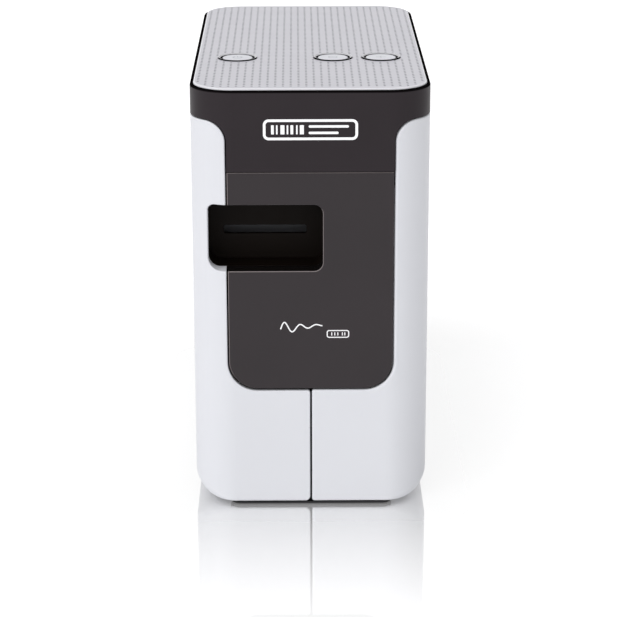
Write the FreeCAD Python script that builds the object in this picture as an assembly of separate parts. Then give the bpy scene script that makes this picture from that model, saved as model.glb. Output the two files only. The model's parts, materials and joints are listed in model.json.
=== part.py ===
"""Upright desktop label maker, built as an assembly of separate pieces.

Millimetres. +Z is up and the front, where the label comes out, faces -Y. The origin is on the table,
under the middle of the base. The tape cassette stands on edge behind a door on the left (-X) side:
the tape's width lies along X and its path runs forward along -Y through head, rollers and cutter.
"""
import FreeCAD
import Part

import math
import os

from FreeCAD import Vector

os.makedirs("parts", exist_ok=True)

# ---------------------------------------------------------------- case
WIDTH = 78.0
DEPTH = 152.0
HEIGHT = 143.0
HALF_W = WIDTH / 2
FRONT = -DEPTH / 2
BACK = DEPTH / 2
PLAN_RADIUS = 14.0        # upright corners, seen from above
SIDE_RADIUS = 8.0         # bottom edge along the sides
TOE_RADIUS = 1.0          # bottom edge at front and back
WALL = 2.0
SHELL_BOTTOM = 1.2
CAP_TOP = HEIGHT - 1.0
CAP_EDGE = 0.8
BAND_Z = 132.3            # lower edge of the cap's band
APRON_HALF = 27.1         # the cap's apron and both dark panels share this half width
APRON_RADIUS = 7.0
SEAM_Z = 115.5            # seam between the cap's apron and the panel below it
SEAM = 0.3                # half the gap between the two white shells
DOOR_GAP = 0.4            # gap from the door to the cap and panel
HOUSING_GAP = 0.2         # gap from the housing to the cap and panels
RIM = 0.4                 # softened outer edge of a shell

# ---------------------------------------------------------------- panels and label window
PANEL_BOTTOM = 41.2
PANEL_RADIUS = 9.5
PANEL_RECESS = 0.25
PANEL_THICKNESS = 2.4
PANEL_BACK = FRONT + PANEL_THICKNESS
REAR_PANEL_Y = BACK - PANEL_THICKNESS    # inner face of the rear panel
WINDOW_X = (-33.4, 4.0)
WINDOW_Z = (82.1, 104.4)
WINDOW_RADIUS = 3.0
WINDOW_LIP = 1.0          # thickness of the lip that lines the window
LIP_BACK = FRONT + 6.7
REAR_PANEL_BOTTOM = 14.0

# ---------------------------------------------------------------- base and batteries
BASE_HALF_X = 26.7
BASE_BOTTOM = 0.4
BASE_TOP = 3.2
FOOT_RADIUS = 4.0
FOOT_AT = (21.0, 65.0)
TRAY_HALF = (22.8, 52.4)
TRAY_ROOF = 19.0
CELL_RADIUS = 7.1
CELL_LENGTH = 50.0
CELL_PITCH = 14.6
CELL_Z = 10.4
COVER_HALF = (24.5, 54.0)

# ---------------------------------------------------------------- buttons
BUTTON_X = {"power_button": -24.35, "app_button": 8.0, "feed_cut_button": 24.3}
BUTTON_Y = -25.0
BUTTON_RADIUS = 5.15
RING_RADII = (5.28, 5.78)
BEZEL_RADII = (5.84, 6.5)
BEZEL_DISH = 0.35         # how far the bezel's top slopes down towards the button
BUTTON_TOP = HEIGHT - 0.3
RING_TOP = HEIGHT - 0.7
PLATE_HOLE = 6.85
CAP_HOLE = 6.05
PLATE_INSET = 1.15
PLATE_TOP = HEIGHT - 0.4
PLATE_SEAT = 141.0
STEM_RADIUS = 1.8

# ---------------------------------------------------------------- door hinge
HINGE = (-36.4, 64.0)
DOOR_REAR = 56.0
KNUCKLE_RADIUS = 2.3
KNUCKLES = ((24.0, 36.0), (104.0, 116.0))
HINGE_PIN_RADIUS = 0.9

# ---------------------------------------------------------------- chassis and tape cassette
FLOOR_X = (1.0, 3.0)      # upright plate that the cassette seats against
FACE_X = (-33.0, -31.4)
CHASSIS_Y = (-56.5, 54.0)
CHASSIS_TOP = 128.0
BAY_Y = (-47.2, 18.5)
BAY_Z = (49.0, 113.5)
BAY_WALL = 1.3
CASE_X = (-30.0, 0.0)
CASE_WALL = 1.2
TAPE_X = (-27.0, -3.0)
TAPE_Z = (91.65, 91.8)
REEL = (-2.5, 72.3)
REEL_RADIUS = 18.0
SUPPLY = (-29.5, 73.0)
TAKEUP = (-32.0, 58.5)
DRIVE = (-41.0, 88.2)
DRIVE_RADIUS = 3.4

# ---------------------------------------------------------------- rollers and gears
PLATEN = (-31.5, 96.65)
PLATEN_RADIUS = 4.75
PINCH = (-41.0, 95.2)
PINCH_RADIUS = 3.3
PINCH_SHAFT_RADIUS = 1.2
HOLDER_PIVOT = (-4.0, 103.0)
SHAFT_RADIUS = 1.5
RUNNING = 0.06
MODULE = 0.6
FINE_MODULE = 0.5
MESH_SLACK = 0.06         # each pair of gear centres stands this much further apart than the pitch circles
GEAR_X = (4.0, 7.0)
FINE_GEAR_X = (7.4, 10.0)
STUD_RADIUS = 1.0
GEAR_PLATE_X = (11.0, 12.0)
TEETH = {"motor": 12, "wheel": 36, "small": 12, "idler": 24, "platen": 20, "reverse": 10, "drive": 14,
         "second": 28, "takeup": 22, "crank": 24, "cutter": 10}

# ---------------------------------------------------------------- cutter
CUTTER_FRAME_Y = (-50.2, -49.2)
FIXED_BLADE_Y = (-51.4, -50.2)
MOVING_BLADE_Y = (-52.6, -51.5)
BLADE_PIVOT = (8.0, 86.0)
CRANK = (27.0, 86.0)
CRANK_THROW = 4.5
CRANK_REST_DEG = 19.7     # the pin starts this far below the line of centres
CRANK_GEAR_Y = (-49.0, -46.8)
CRANK_PIN_RADIUS = 1.0

# ---------------------------------------------------------------- rear board
BOARD_Y = (60.0, 61.6)
USB_AT = (12.0, 34.0)
JACK_AT = (-12.0, 34.0)
REAR_SCREWS = [(x, z) for x in (-23.6, 23.6) for z in (21.0, 108.0)]
CHASSIS_SCREWS = [(x, y) for x in (-18.0, 18.0) for y in (-46.0, 46.0)]
BLADE_SCREWS = [(-24.0, 84.5), (-6.0, 84.5)]
SCREW_RADIUS = 1.2
SCREW_HEAD = (2.2, 1.3)   # radius, height


# ================================================================ helpers
def box(x, y, z):
    """A block between (low, high) pairs."""
    return Part.makeBox(x[1] - x[0], y[1] - y[0], z[1] - z[0], Vector(x[0], y[0], z[0]))


def rod_x(x, centre, radius):
    return Part.makeCylinder(radius, x[1] - x[0], Vector(x[0], *centre), Vector(1, 0, 0))


def rod_y(y, centre, radius):
    return Part.makeCylinder(radius, y[1] - y[0], Vector(centre[0], y[0], centre[1]), Vector(0, 1, 0))


def rod_z(z, centre, radius):
    return Part.makeCylinder(radius, z[1] - z[0], Vector(*centre, z[0]), Vector(0, 0, 1))


def ring_z(z, centre, radii):
    return rod_z(z, centre, radii[1]).cut(rod_z(z, centre, radii[0]))


def ring_x(x, centre, radii):
    return rod_x(x, centre, radii[1]).cut(rod_x(x, centre, radii[0]))


def join(shapes):
    """Fuses overlapping or touching shapes into one solid."""
    whole = shapes[0]
    for shape in shapes[1:]:
        whole = whole.fuse(shape)
    return whole.removeSplitter()


def rounded_polygon(points, radii):
    """Corners of a closed 2D polygon: one point if the radius is 0, else the fillet's start, middle, end."""
    count = len(points)
    corners = []
    for i, (x, y) in enumerate(points):
        before, after, r = points[i - 1], points[(i + 1) % count], radii[i]
        if r <= 0:
            corners.append([(x, y)])
            continue
        u = FreeCAD.Base.Vector2d(before[0] - x, before[1] - y)
        v = FreeCAD.Base.Vector2d(after[0] - x, after[1] - y)
        lu, lv = math.hypot(u.x, u.y), math.hypot(v.x, v.y)
        ux, uy, vx, vy = u.x / lu, u.y / lu, v.x / lv, v.y / lv
        half = math.acos(max(-1.0, min(1.0, ux * vx + uy * vy))) / 2
        back = r / math.tan(half)
        bx, by = ux + vx, uy + vy
        lb = math.hypot(bx, by)
        reach = r / math.sin(half)
        centre = (x + bx / lb * reach, y + by / lb * reach)
        mid = (centre[0] - bx / lb * r, centre[1] - by / lb * r)
        corners.append([(x + ux * back, y + uy * back), mid, (x + vx * back, y + vy * back)])
    return corners


def outline(points, radii, place):
    """A closed wire from a rounded polygon; place turns a 2D point into a Vector."""
    corners = rounded_polygon(points, radii)
    edges = []
    for i, corner in enumerate(corners):
        if len(corner) == 3:
            edges.append(Part.Arc(*[place(p) for p in corner]).toShape())
        start, end = place(corner[-1]), place(corners[(i + 1) % len(corners)][0])
        if start.distanceToPoint(end) > 1e-6:
            edges.append(Part.LineSegment(start, end).toShape())
    return Part.Wire(edges)


def prism_y(points, y, radii=None):
    """Extrudes an XZ outline along Y."""
    wire = outline(points, radii or [0] * len(points), lambda p: Vector(p[0], y[0], p[1]))
    return Part.Face(wire).extrude(Vector(0, y[1] - y[0], 0))


def prism_x(points, x, radii=None):
    """Extrudes a YZ outline along X."""
    wire = outline(points, radii or [0] * len(points), lambda p: Vector(x[0], p[0], p[1]))
    return Part.Face(wire).extrude(Vector(x[1] - x[0], 0, 0))


def prism_z(points, z, radii=None):
    """Extrudes an XY outline along Z."""
    wire = outline(points, radii or [0] * len(points), lambda p: Vector(p[0], p[1], z[0]))
    return Part.Face(wire).extrude(Vector(0, 0, z[1] - z[0]))


def rectangle(a, b):
    """Corners of a rectangle from two (low, high) pairs."""
    return [(a[0], b[0]), (a[1], b[0]), (a[1], b[1]), (a[0], b[1])]


def grown(pair, by):
    return (pair[0] - by, pair[1] + by)


def along(edge, axis):
    """True if a straight edge runs along a unit axis."""
    ends = edge.valueAt(edge.FirstParameter), edge.valueAt(edge.LastParameter)
    step = ends[1].sub(ends[0])
    return step.Length > 1e-6 and abs(abs(step.dot(axis)) - step.Length) < 1e-6


def coil(radius, wire, pitch, height, sides=8):
    """A wire coil that rises from the origin along Z; the wire's section is a small polygon."""
    path = Part.makeHelix(pitch, height, radius)
    angles = [2 * math.pi * i / sides for i in range(sides)]
    corners = [Vector(radius + wire * math.cos(a), 0, wire * math.sin(a)) for a in angles]
    section = Part.makePolygon(corners + corners[:1])
    return Part.Wire(path).makePipeShell([section], True, True)


def soften(shape, radius, edges):
    """Fillets edges and returns the plain solid."""
    return shape.makeFillet(radius, edges).Solids[0]


def save(name, *shapes):
    """Writes one node's solids."""
    solids = [solid for shape in shapes for solid in shape.Solids]
    body = solids[0] if len(solids) == 1 else Part.makeCompound(solids)
    body.exportStep(f"parts/{name}.step")
    print(f"{name}: {len(solids)} solid(s), {body.Volume:.0f} mm3, valid {body.isValid()}")


# ================================================================ case shells
def case_body(inset):
    """The whole case as one block, inset by a wall thickness on every side."""
    half_x, half_y = HALF_W - inset, BACK - inset
    bottom, top = SHELL_BOTTOM + inset, CAP_TOP - inset
    plan = rectangle((-half_x, half_x), (-half_y, half_y))
    block = prism_z(plan, (bottom, top), [PLAN_RADIUS - inset] * 4)
    side, toe, lip = SIDE_RADIUS - inset, max(TOE_RADIUS - inset, 0.3), max(CAP_EDGE - inset, 0)
    edges = []
    for number, edge in enumerate(block.Edges, 1):
        where = edge.BoundBox
        if where.ZMax < bottom + 0.1:
            if abs(edge.CenterOfMass.x) > half_x - 0.01:
                edges.append((number, side, side))
            elif abs(edge.CenterOfMass.y) > half_y - 0.01:
                edges.append((number, toe, toe))
            elif abs(edge.valueAt(edge.FirstParameter).x) > half_x - 0.01:
                edges.append((number, side, toe))
            else:
                edges.append((number, toe, side))
        elif where.ZMin > top - 0.1 and lip:
            edges.append((number, lip, lip))
    document = FreeCAD.newDocument()
    source = document.addObject("Part::Feature", "block")
    source.Shape = block
    fillet = document.addObject("Part::Fillet", "softened")
    fillet.Base = source
    fillet.Edges = edges
    document.recompute()
    return fillet.Shape.Solids[0].copy()


def cap_region(gap):
    """Everything above the band's lower edge, with the apron that hangs down at front and back."""
    side = APRON_HALF + APRON_RADIUS
    half, band, low = APRON_HALF + gap, BAND_Z - gap, SEAM_Z - gap
    far, top = HALF_W + 10, HEIGHT + 10
    points = [(-far, band), (-half, band), (-half, low), (half, low), (half, band), (far, band),
              (far, top), (-far, top)]
    bend = side - half
    return prism_y(points, (FRONT - 10, BACK + 10), [0, bend, 0, 0, bend, 0, 0, 0])


def panel_region(gap, bottom, radius, y):
    """The opening below the apron that a dark panel fills."""
    half = APRON_HALF + gap
    points = [(-half, bottom - gap), (half, bottom - gap), (half, SEAM_Z + 5), (-half, SEAM_Z + 5)]
    return prism_y(points, y, [radius + gap, radius + gap, 0, 0])


def window_region(offset, y):
    """The label window, grown by an offset."""
    points = rectangle(grown(WINDOW_X, offset), grown(WINDOW_Z, offset))
    return prism_y(points, y, [WINDOW_RADIUS + 1 + offset] + [WINDOW_RADIUS + offset] * 2
                   + [WINDOW_RADIUS - 0.6 + offset])


def base_opening():
    """The hole in the shells' underside that the base fills."""
    return box(grown((-BASE_HALF_X, BASE_HALF_X), SEAM), (FRONT + WALL, BACK - WALL), (0, BASE_TOP + 1))


def rim_edges(shape, skin, within=None):
    """Sharp edges of a shell that lie on the case's outer surface."""
    chosen, surface = [], skin.Shells[0]
    for edge in shape.Edges:
        middle = edge.valueAt((edge.FirstParameter + edge.LastParameter) / 2)
        if within and not within(middle):
            continue
        if edge.Length < 0.05 or surface.distToShape(Part.Vertex(middle))[0] > 1e-3:
            continue
        faces = shape.ancestorsOfType(edge, Part.Face)
        if len(faces) != 2:
            continue
        normals = []
        for face in faces:
            u, v = face.Surface.parameter(middle)
            normals.append(face.normalAt(u, v))
        if abs(normals[0].dot(normals[1])) < 0.8:
            chosen.append(edge)
    return chosen


def cassette_door(walls, skin):
    """Left shell: wraps from the front's middle seam round to the hinge near the rear corner."""
    door = walls.common(box((-HALF_W - 1, -SEAM), (FRONT - 1, DOOR_REAR), (0, BAND_Z + 1)))
    door = door.cut(cap_region(DOOR_GAP)).cut(base_opening()).cut(window_region(0, (FRONT - 1, -60)))
    door = door.cut(panel_region(DOOR_GAP, PANEL_BOTTOM, PANEL_RADIUS, (FRONT - 1, 0)))
    head = [e for e in door.Edges if along(e, Vector(0, 1, 0)) and abs(e.CenterOfMass.x + SEAM) < 0.01
            and abs(e.CenterOfMass.z - PANEL_BOTTOM) < 1]
    door = soften(door, 0.8, head)
    door = door.cut(corner_cutter((-SEAM, SHELL_BOTTOM), 2.0))
    door = soften(door, RIM, rim_edges(door, skin, lambda p: p.y < -60 and p.z > 8))
    lip = window_region(WINDOW_LIP, (FRONT + 1.0, LIP_BACK)).cut(window_region(0, (FRONT - 1, -60)))
    lip = lip.common(box((-HALF_W, -APRON_HALF - 0.5), (FRONT, LIP_BACK), (0, HEIGHT)))
    lip = lip.common(case_body(WALL / 2))
    pieces = [door, lip]
    for low, high in KNUCKLES:
        z = (low + 0.3, high - 0.3)
        pieces.append(box((-HALF_W + 0.1, -HALF_W + WALL), (DOOR_REAR - 2, HINGE[1]), z))
        pieces.append(rod_z(z, HINGE, KNUCKLE_RADIUS))
    for z in (32.0, 120.0):
        pieces.append(box((-HALF_W + 1.5, FACE_X[0] + 1.0), (-52.0, -46.0), (z, z + 2.0)))
    for y in (-30.0, 0.0, 30.0):
        pieces.append(box((-HALF_W + 1.5, -HALF_W + 3.2), (y, y + 1.2), (16.0, BAND_Z - 4)))
    door = join(pieces)
    for low, high in KNUCKLES:
        door = door.cut(rod_z((low, high), HINGE, HINGE_PIN_RADIUS + RUNNING))
    return door


def corner_cutter(corner, radius):
    """Removes a square corner at (x, z) outside a fillet, for a shell that lies to its left and above."""
    x, z = corner
    block = box((x - radius, x + 1), (FRONT - 1, FRONT + WALL + 1), (z - 1, z + radius))
    return block.cut(rod_y((FRONT - 2, FRONT + WALL + 2), (x - radius, z + radius), radius))


def main_housing(walls, skin):
    """White shell of the right side, the back and the rear left corner."""
    left_of = box((-HALF_W - 1, SEAM), (FRONT - 1, DOOR_REAR + 0.5), (0, HEIGHT))
    shell = walls.cut(left_of).cut(cap_region(HOUSING_GAP)).cut(base_opening())
    shell = shell.cut(panel_region(HOUSING_GAP, PANEL_BOTTOM, PANEL_RADIUS, (FRONT - 1, 0)))
    shell = shell.cut(panel_region(HOUSING_GAP, REAR_PANEL_BOTTOM, PANEL_RADIUS, (0, BACK + 1)))
    head = [e for e in shell.Edges if along(e, Vector(0, 1, 0)) and abs(e.CenterOfMass.x - SEAM) < 0.01
            and e.CenterOfMass.y < 0 and abs(e.CenterOfMass.z - PANEL_BOTTOM) < 1]
    shell = soften(shell, 0.8, head)
    shell = soften(shell, 0.8, rim_edges(shell, skin, lambda p: p.y < -60 and PANEL_BOTTOM - 1 < p.z
                                            and p.x > 1.5))
    pieces = [shell]
    ledge_x = (APRON_HALF - 2.5, APRON_HALF + 3.0)
    pieces.append(box(ledge_x, (PANEL_BACK, PANEL_BACK + 1.4), (48.0, 110.0)))
    for side in (-1, 1):
        x = sorted((side * ledge_x[0], side * ledge_x[1]))
        pieces.append(box(x, (BACK - 3.8, REAR_PANEL_Y), (16.0, SEAM_Z - 2)))
    for x, z in REAR_SCREWS:
        pieces.append(rod_y((BACK - 10, REAR_PANEL_Y), (x, z), 3.0))
    for low, high in KNUCKLES:
        for z in ((low - 4, low), (high, high + 4)):
            pieces.append(rod_z(z, HINGE, KNUCKLE_RADIUS))
            pieces.append(box((-HALF_W + 1, -HALF_W + 4.5), (HINGE[1] - 2, HINGE[1] + 3.5), z))
    shell = join(pieces)
    for low, high in KNUCKLES:
        shell = shell.cut(box((-HALF_W - 1, -HALF_W + 6), (DOOR_REAR, HINGE[1] + 3.8), (low, high)))
        shell = shell.cut(rod_z((low - 3, high + 3), HINGE, HINGE_PIN_RADIUS))
    for x, z in REAR_SCREWS:
        shell = shell.cut(rod_y((BACK - 9, BACK + 1), (x, z), SCREW_RADIUS))
    return shell


def hinge_pins():
    return [rod_z((low - 3, high + 3), HINGE, HINGE_PIN_RADIUS) for low, high in KNUCKLES]


def top_cap(walls):
    """Dark cap with its band and aprons, recessed on top for the patterned plate."""
    cap = walls.common(cap_region(0))
    half_x, half_y = HALF_W - PLATE_INSET + 0.1, BACK - PLATE_INSET + 0.1
    seat = prism_z(rectangle((-half_x, half_x), (-half_y, half_y)), (PLATE_SEAT, HEIGHT),
                   [PLAN_RADIUS - PLATE_INSET + 0.1] * 4)
    cap = cap.cut(seat)
    for x in BUTTON_X.values():
        cap = cap.cut(rod_z((130, HEIGHT), (x, BUTTON_Y), CAP_HOLE))
    return cap


def top_plate():
    half_x, half_y = HALF_W - PLATE_INSET, BACK - PLATE_INSET
    plate = prism_z(rectangle((-half_x, half_x), (-half_y, half_y)), (PLATE_SEAT, PLATE_TOP),
                    [PLAN_RADIUS - PLATE_INSET] * 4)
    rim = [e for e in plate.Edges if e.BoundBox.ZMin > PLATE_TOP - 0.01]
    plate = soften(plate, 0.5, rim)
    for x in BUTTON_X.values():
        plate = plate.cut(rod_z((130, HEIGHT + 1), (x, BUTTON_Y), PLATE_HOLE))
    return plate


def front_panel():
    """Dark panel below the apron, with the label window cut out of its left side."""
    y = (FRONT + PANEL_RECESS, PANEL_BACK)
    points = rectangle((-APRON_HALF + 0.1, APRON_HALF - 0.1), (PANEL_BOTTOM + 0.3, SEAM_Z - 0.25))
    panel = prism_y(points, y, [PANEL_RADIUS, PANEL_RADIUS, 0, 0])
    panel = panel.cut(window_region(0, (FRONT - 1, -60)))
    front_rim = [e for e in panel.Edges if e.BoundBox.YMax < y[0] + 0.01]
    panel = soften(panel, 0.35, front_rim)
    lip = window_region(WINDOW_LIP, (PANEL_BACK - 0.5, LIP_BACK)).cut(window_region(0, (FRONT, -60)))
    lip = lip.common(box((-APRON_HALF + 0.1, 10), (FRONT, LIP_BACK), (0, HEIGHT)))
    return join([panel, lip])


def rear_panel():
    """Dark rear panel with the vents, the two sockets' openings and four recessed screw seats."""
    y = (REAR_PANEL_Y, BACK - PANEL_RECESS)
    points = rectangle((-APRON_HALF + 0.1, APRON_HALF - 0.1), (REAR_PANEL_BOTTOM + 0.3, SEAM_Z - 0.25))
    panel = prism_y(points, y, [PANEL_RADIUS, PANEL_RADIUS, 0, 0])
    back_rim = [e for e in panel.Edges if e.BoundBox.YMin > y[1] - 0.01]
    panel = soften(panel, 0.35, back_rim)
    cuts = [box(grown((USB_AT[0], USB_AT[0]), 6.3), grown(y, 1), grown((USB_AT[1], USB_AT[1]), 5.8)),
            rod_y(grown(y, 1), JACK_AT, 4.4)]
    for row in range(7):
        low = 70.0 + 4.5 * row
        slot = rectangle((-14.0, 14.0), (low, low + 1.8))
        cuts.append(prism_y(slot, grown(y, 1), [0.85] * 4))
    for x, z in REAR_SCREWS:
        cuts.append(rod_y(grown(y, 1), (x, z), SCREW_RADIUS))
        cuts.append(rod_y((y[1] - SCREW_HEAD[1], y[1] + 1), (x, z), SCREW_HEAD[0] + 0.2))
    for cut in cuts:
        panel = panel.cut(cut)
    return panel


# ================================================================ base
def base_housing():
    """Black base: floor, foot pockets, battery opening and battery tray."""
    edge = (FRONT + 0.4, BACK - 0.4)
    across = (-BASE_HALF_X, BASE_HALF_X)
    skirt = prism_z(rectangle(across, edge), (BASE_BOTTOM, SHELL_BOTTOM - 0.2), [3.0] * 4)
    inner = (FRONT + WALL + 0.3, BACK - WALL - 0.3)
    floor = box(across, inner, (SHELL_BOTTOM - 0.2, BASE_TOP))
    tray_x, tray_y = grown((-TRAY_HALF[0], TRAY_HALF[0]), 1.5), grown((-TRAY_HALF[1], TRAY_HALF[1]), 1.5)
    base = join([skirt, floor, box(tray_x, tray_y, (BASE_TOP, TRAY_ROOF))])
    base = base.cut(box(grown(tray_x, -1.5), grown(tray_y, -1.5), (0, TRAY_ROOF - 1.2)))
    cover_x, cover_y = (-COVER_HALF[0], COVER_HALF[0]), (-COVER_HALF[1], COVER_HALF[1])
    base = base.cut(box(grown(cover_x, 0.2), grown(cover_y, 0.2), (0, 2.1)))
    for x in (-FOOT_AT[0], FOOT_AT[0]):
        for y in (-FOOT_AT[1], FOOT_AT[1]):
            base = base.cut(rod_z((0, 1.4), (x, y), FOOT_RADIUS))
    for x, y in CHASSIS_SCREWS:
        base = base.cut(rod_z((TRAY_ROOF - 2, TRAY_ROOF + 1), (x, y), SCREW_RADIUS))
    return base


def rubber_feet():
    return [rod_z((0, 1.4), (x, y), FOOT_RADIUS) for x in (-FOOT_AT[0], FOOT_AT[0])
            for y in (-FOOT_AT[1], FOOT_AT[1])]


def battery_cover():
    plate = box((-COVER_HALF[0], COVER_HALF[0]), (-COVER_HALF[1], COVER_HALF[1]), (0.5, 2.0))
    tray_x, tray_y = (-TRAY_HALF[0], TRAY_HALF[0]), (-TRAY_HALF[1], TRAY_HALF[1])
    rim = box(grown(tray_x, -0.25), grown(tray_y, -0.25), (2.0, 3.0))
    rim = rim.cut(box(grown(tray_x, -1.6), grown(tray_y, -1.6), (1.9, 3.1)))
    cover = join([plate, rim])
    return cover.cut(rod_z((0, 1.2), (0, -46), 6.0))


def battery_cells():
    """Six round cells in two rows of three, each with its raised positive tip."""
    cells = []
    for column in (-1, 0, 1):
        for end in (-1, 1):
            start = -CELL_LENGTH - 0.1 if end < 0 else 0.1
            x = column * CELL_PITCH
            can = rod_y((start, start + CELL_LENGTH - 1.0), (x, CELL_Z), CELL_RADIUS)
            tip = rod_y((start + CELL_LENGTH - 1.0, start + CELL_LENGTH), (x, CELL_Z), 2.7)
            cells.append(join([can, tip]))
    return cells


def battery_contacts():
    """A sprung and a flat contact at the ends of each row of cells."""
    contacts = []
    for column in (-1, 0, 1):
        x = column * CELL_PITCH
        for y in ((-52.3, -51.9), (51.9, 52.3)):
            contacts.append(box(grown((x, x), 5.5), y, grown((CELL_Z, CELL_Z), 5.5)))
        spring = coil(3.4, 0.2, 0.85, 1.4)
        spring.rotate(Vector(0, 0, 0), Vector(1, 0, 0), -90)
        spring.translate(Vector(x, -51.7, CELL_Z))
        contacts.append(spring)
    return contacts


# ================================================================ buttons
def button(x):
    """Domed cap with the stem that reaches its switch."""
    cap = rod_z((140.0, BUTTON_TOP), (x, BUTTON_Y), BUTTON_RADIUS)
    top = [e for e in cap.Edges if e.BoundBox.ZMin > BUTTON_TOP - 0.1]
    cap = soften(cap, 0.35, top)
    return join([cap, rod_z((133.2, 140.2), (x, BUTTON_Y), STEM_RADIUS)])


def button_bezel(x):
    """Raised ring whose top dishes down towards the button."""
    inner, outer = BEZEL_RADII
    bezel = ring_z((PLATE_SEAT, HEIGHT), (x, BUTTON_Y), BEZEL_RADII)
    slope = (outer - 0.12 - inner) / BEZEL_DISH
    rise = BEZEL_DISH + 1
    dish = Part.makeCone(inner, inner + slope * rise, rise, Vector(x, BUTTON_Y, HEIGHT - BEZEL_DISH))
    return bezel.cut(dish)


def button_light_ring(x):
    return ring_z((138.4, RING_TOP), (x, BUTTON_Y), RING_RADII)


def button_guide():
    """Moulded bar under the cap that keeps the stems upright."""
    bar = box((-33, 33), (-34, -16), (137.0, 138.4))
    for x in BUTTON_X.values():
        bar = bar.cut(rod_z((130, 140), (x, BUTTON_Y), STEM_RADIUS + 0.1))
    for x in (-31.5, 31.5):
        for y in (-32.5, -17.5):
            bar = bar.fuse(box(grown((x, x), 1.2), grown((y, y), 1.2), (138.4, 140.0)))
    return bar.removeSplitter()


def button_board():
    return box((-34, 34), (-40, -10), (130.0, 131.6))


def tact_switches():
    switches = []
    for x in BUTTON_X.values():
        case = box(grown((x, x), 3.0), grown((BUTTON_Y, BUTTON_Y), 3.0), (131.6, 134.6))
        switches.append(case.cut(rod_z((132.2, 135), (x, BUTTON_Y), STEM_RADIUS + 0.1)))
    return switches


# ================================================================ gears
def gear_outline(teeth, module):
    """Stub involute teeth with backlash, as points round the gear; a tooth is centred on angle 0."""
    pitch_r = module * teeth / 2
    tip_r, root_r = pitch_r + 0.8 * module, pitch_r - 1.1 * module
    base_r = pitch_r * math.cos(math.radians(20))
    half_tooth = math.pi / (2 * teeth) - 0.06 / pitch_r

    def flank(radius):
        """Half the tooth's angle at a radius."""
        def involute(r):
            a = math.acos(min(1.0, base_r / r))
            return math.tan(a) - a
        return half_tooth + involute(pitch_r) - involute(max(radius, base_r))

    radii = [root_r, max(base_r, root_r + 0.05), pitch_r, (pitch_r + tip_r) / 2, tip_r]
    points = []
    for tooth in range(teeth):
        middle = 2 * math.pi * tooth / teeth
        for r in radii:
            points.append((r, middle - flank(r)))
        for r in reversed(radii):
            points.append((r, middle + flank(r)))
    return [(r * math.cos(a), r * math.sin(a)) for r, a in points]


def gear(teeth, module, span, centre, phase, axis="x"):
    """A spur gear between span[0] and span[1] along X or Y; phase is the angle in degrees of one tooth."""
    turn = math.radians(phase)
    points = [(u * math.cos(turn) - v * math.sin(turn) + centre[0],
               u * math.sin(turn) + v * math.cos(turn) + centre[1]) for u, v in gear_outline(teeth, module)]
    return prism_x(points, span) if axis == "x" else prism_y(points, span)


def centres_apart(a, b, module=MODULE):
    return module * (TEETH[a] + TEETH[b]) / 2 + MESH_SLACK


def direction(a, b):
    return math.degrees(math.atan2(b[1] - a[1], b[0] - a[0]))


def meshed_phase(driver, driven, centre_a, centre_b, phase_a):
    """The driven gear's phase in degrees: its gap faces the driver's tooth on the line of centres."""
    towards = direction(centre_a, centre_b)
    ratio = TEETH[driver] / TEETH[driven]
    return towards + 180 - ratio * (phase_a - towards) - 180 / TEETH[driven]


def third_corner(a, b, from_a, from_b):
    """The point at given distances from a and b, to the left of the line a to b."""
    dy, dz = b[0] - a[0], b[1] - a[1]
    span = math.hypot(dy, dz)
    foot = (from_a ** 2 - from_b ** 2 + span ** 2) / (2 * span)
    rise = math.sqrt(from_a ** 2 - foot ** 2)
    return (a[0] + (foot * dy - rise * dz) / span, a[1] + (foot * dz + rise * dy) / span)


def stepped(centre, distance, degrees):
    return (centre[0] + distance * math.cos(math.radians(degrees)),
            centre[1] + distance * math.sin(math.radians(degrees)))


IDLER = stepped(PLATEN, centres_apart("platen", "idler"), -55.0)
REVERSE = third_corner(IDLER, DRIVE, centres_apart("idler", "reverse"), centres_apart("reverse", "drive"))
SECOND = third_corner(IDLER, TAKEUP, centres_apart("idler", "second"), centres_apart("second", "takeup"))
COMPOUND = stepped(IDLER, centres_apart("idler", "small"), 12.0)
MOTOR = stepped(COMPOUND, centres_apart("wheel", "motor", FINE_MODULE), 0.0)
STUDS = (IDLER, REVERSE, SECOND, COMPOUND)

IDLER_PHASE = 0.0
PLATEN_PHASE = meshed_phase("idler", "platen", IDLER, PLATEN, IDLER_PHASE)
REVERSE_PHASE = meshed_phase("idler", "reverse", IDLER, REVERSE, IDLER_PHASE)
DRIVE_PHASE = meshed_phase("reverse", "drive", REVERSE, DRIVE, REVERSE_PHASE)
SECOND_PHASE = meshed_phase("idler", "second", IDLER, SECOND, IDLER_PHASE)
TAKEUP_PHASE = meshed_phase("second", "takeup", SECOND, TAKEUP, SECOND_PHASE)
SMALL_PHASE = meshed_phase("idler", "small", IDLER, COMPOUND, IDLER_PHASE)
MOTOR_PHASE = meshed_phase("wheel", "motor", COMPOUND, MOTOR, SMALL_PHASE)


def stud_gear(name, centre, phase):
    """A plain gear that turns on a fixed stud."""
    wheel = gear(TEETH[name], MODULE, GEAR_X, centre, phase)
    return wheel.cut(rod_x(grown(GEAR_X, 1), centre, STUD_RADIUS + RUNNING))


def compound_gear():
    """Large wheel from the motor and the small pinion that drives the idler, in one piece."""
    small = gear(TEETH["small"], MODULE, (GEAR_X[0], FINE_GEAR_X[0]), COMPOUND, SMALL_PHASE)
    wheel = gear(TEETH["wheel"], FINE_MODULE, FINE_GEAR_X, COMPOUND, SMALL_PHASE)
    bore = rod_x(grown((GEAR_X[0], FINE_GEAR_X[1]), 1), COMPOUND, STUD_RADIUS + RUNNING)
    return small.fuse(wheel).cut(bore)


def motor_pinion():
    pinion = gear(TEETH["motor"], FINE_MODULE, FINE_GEAR_X, MOTOR, MOTOR_PHASE)
    return join([pinion, rod_x((FINE_GEAR_X[0], 14.0), MOTOR, 0.8)])


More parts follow.
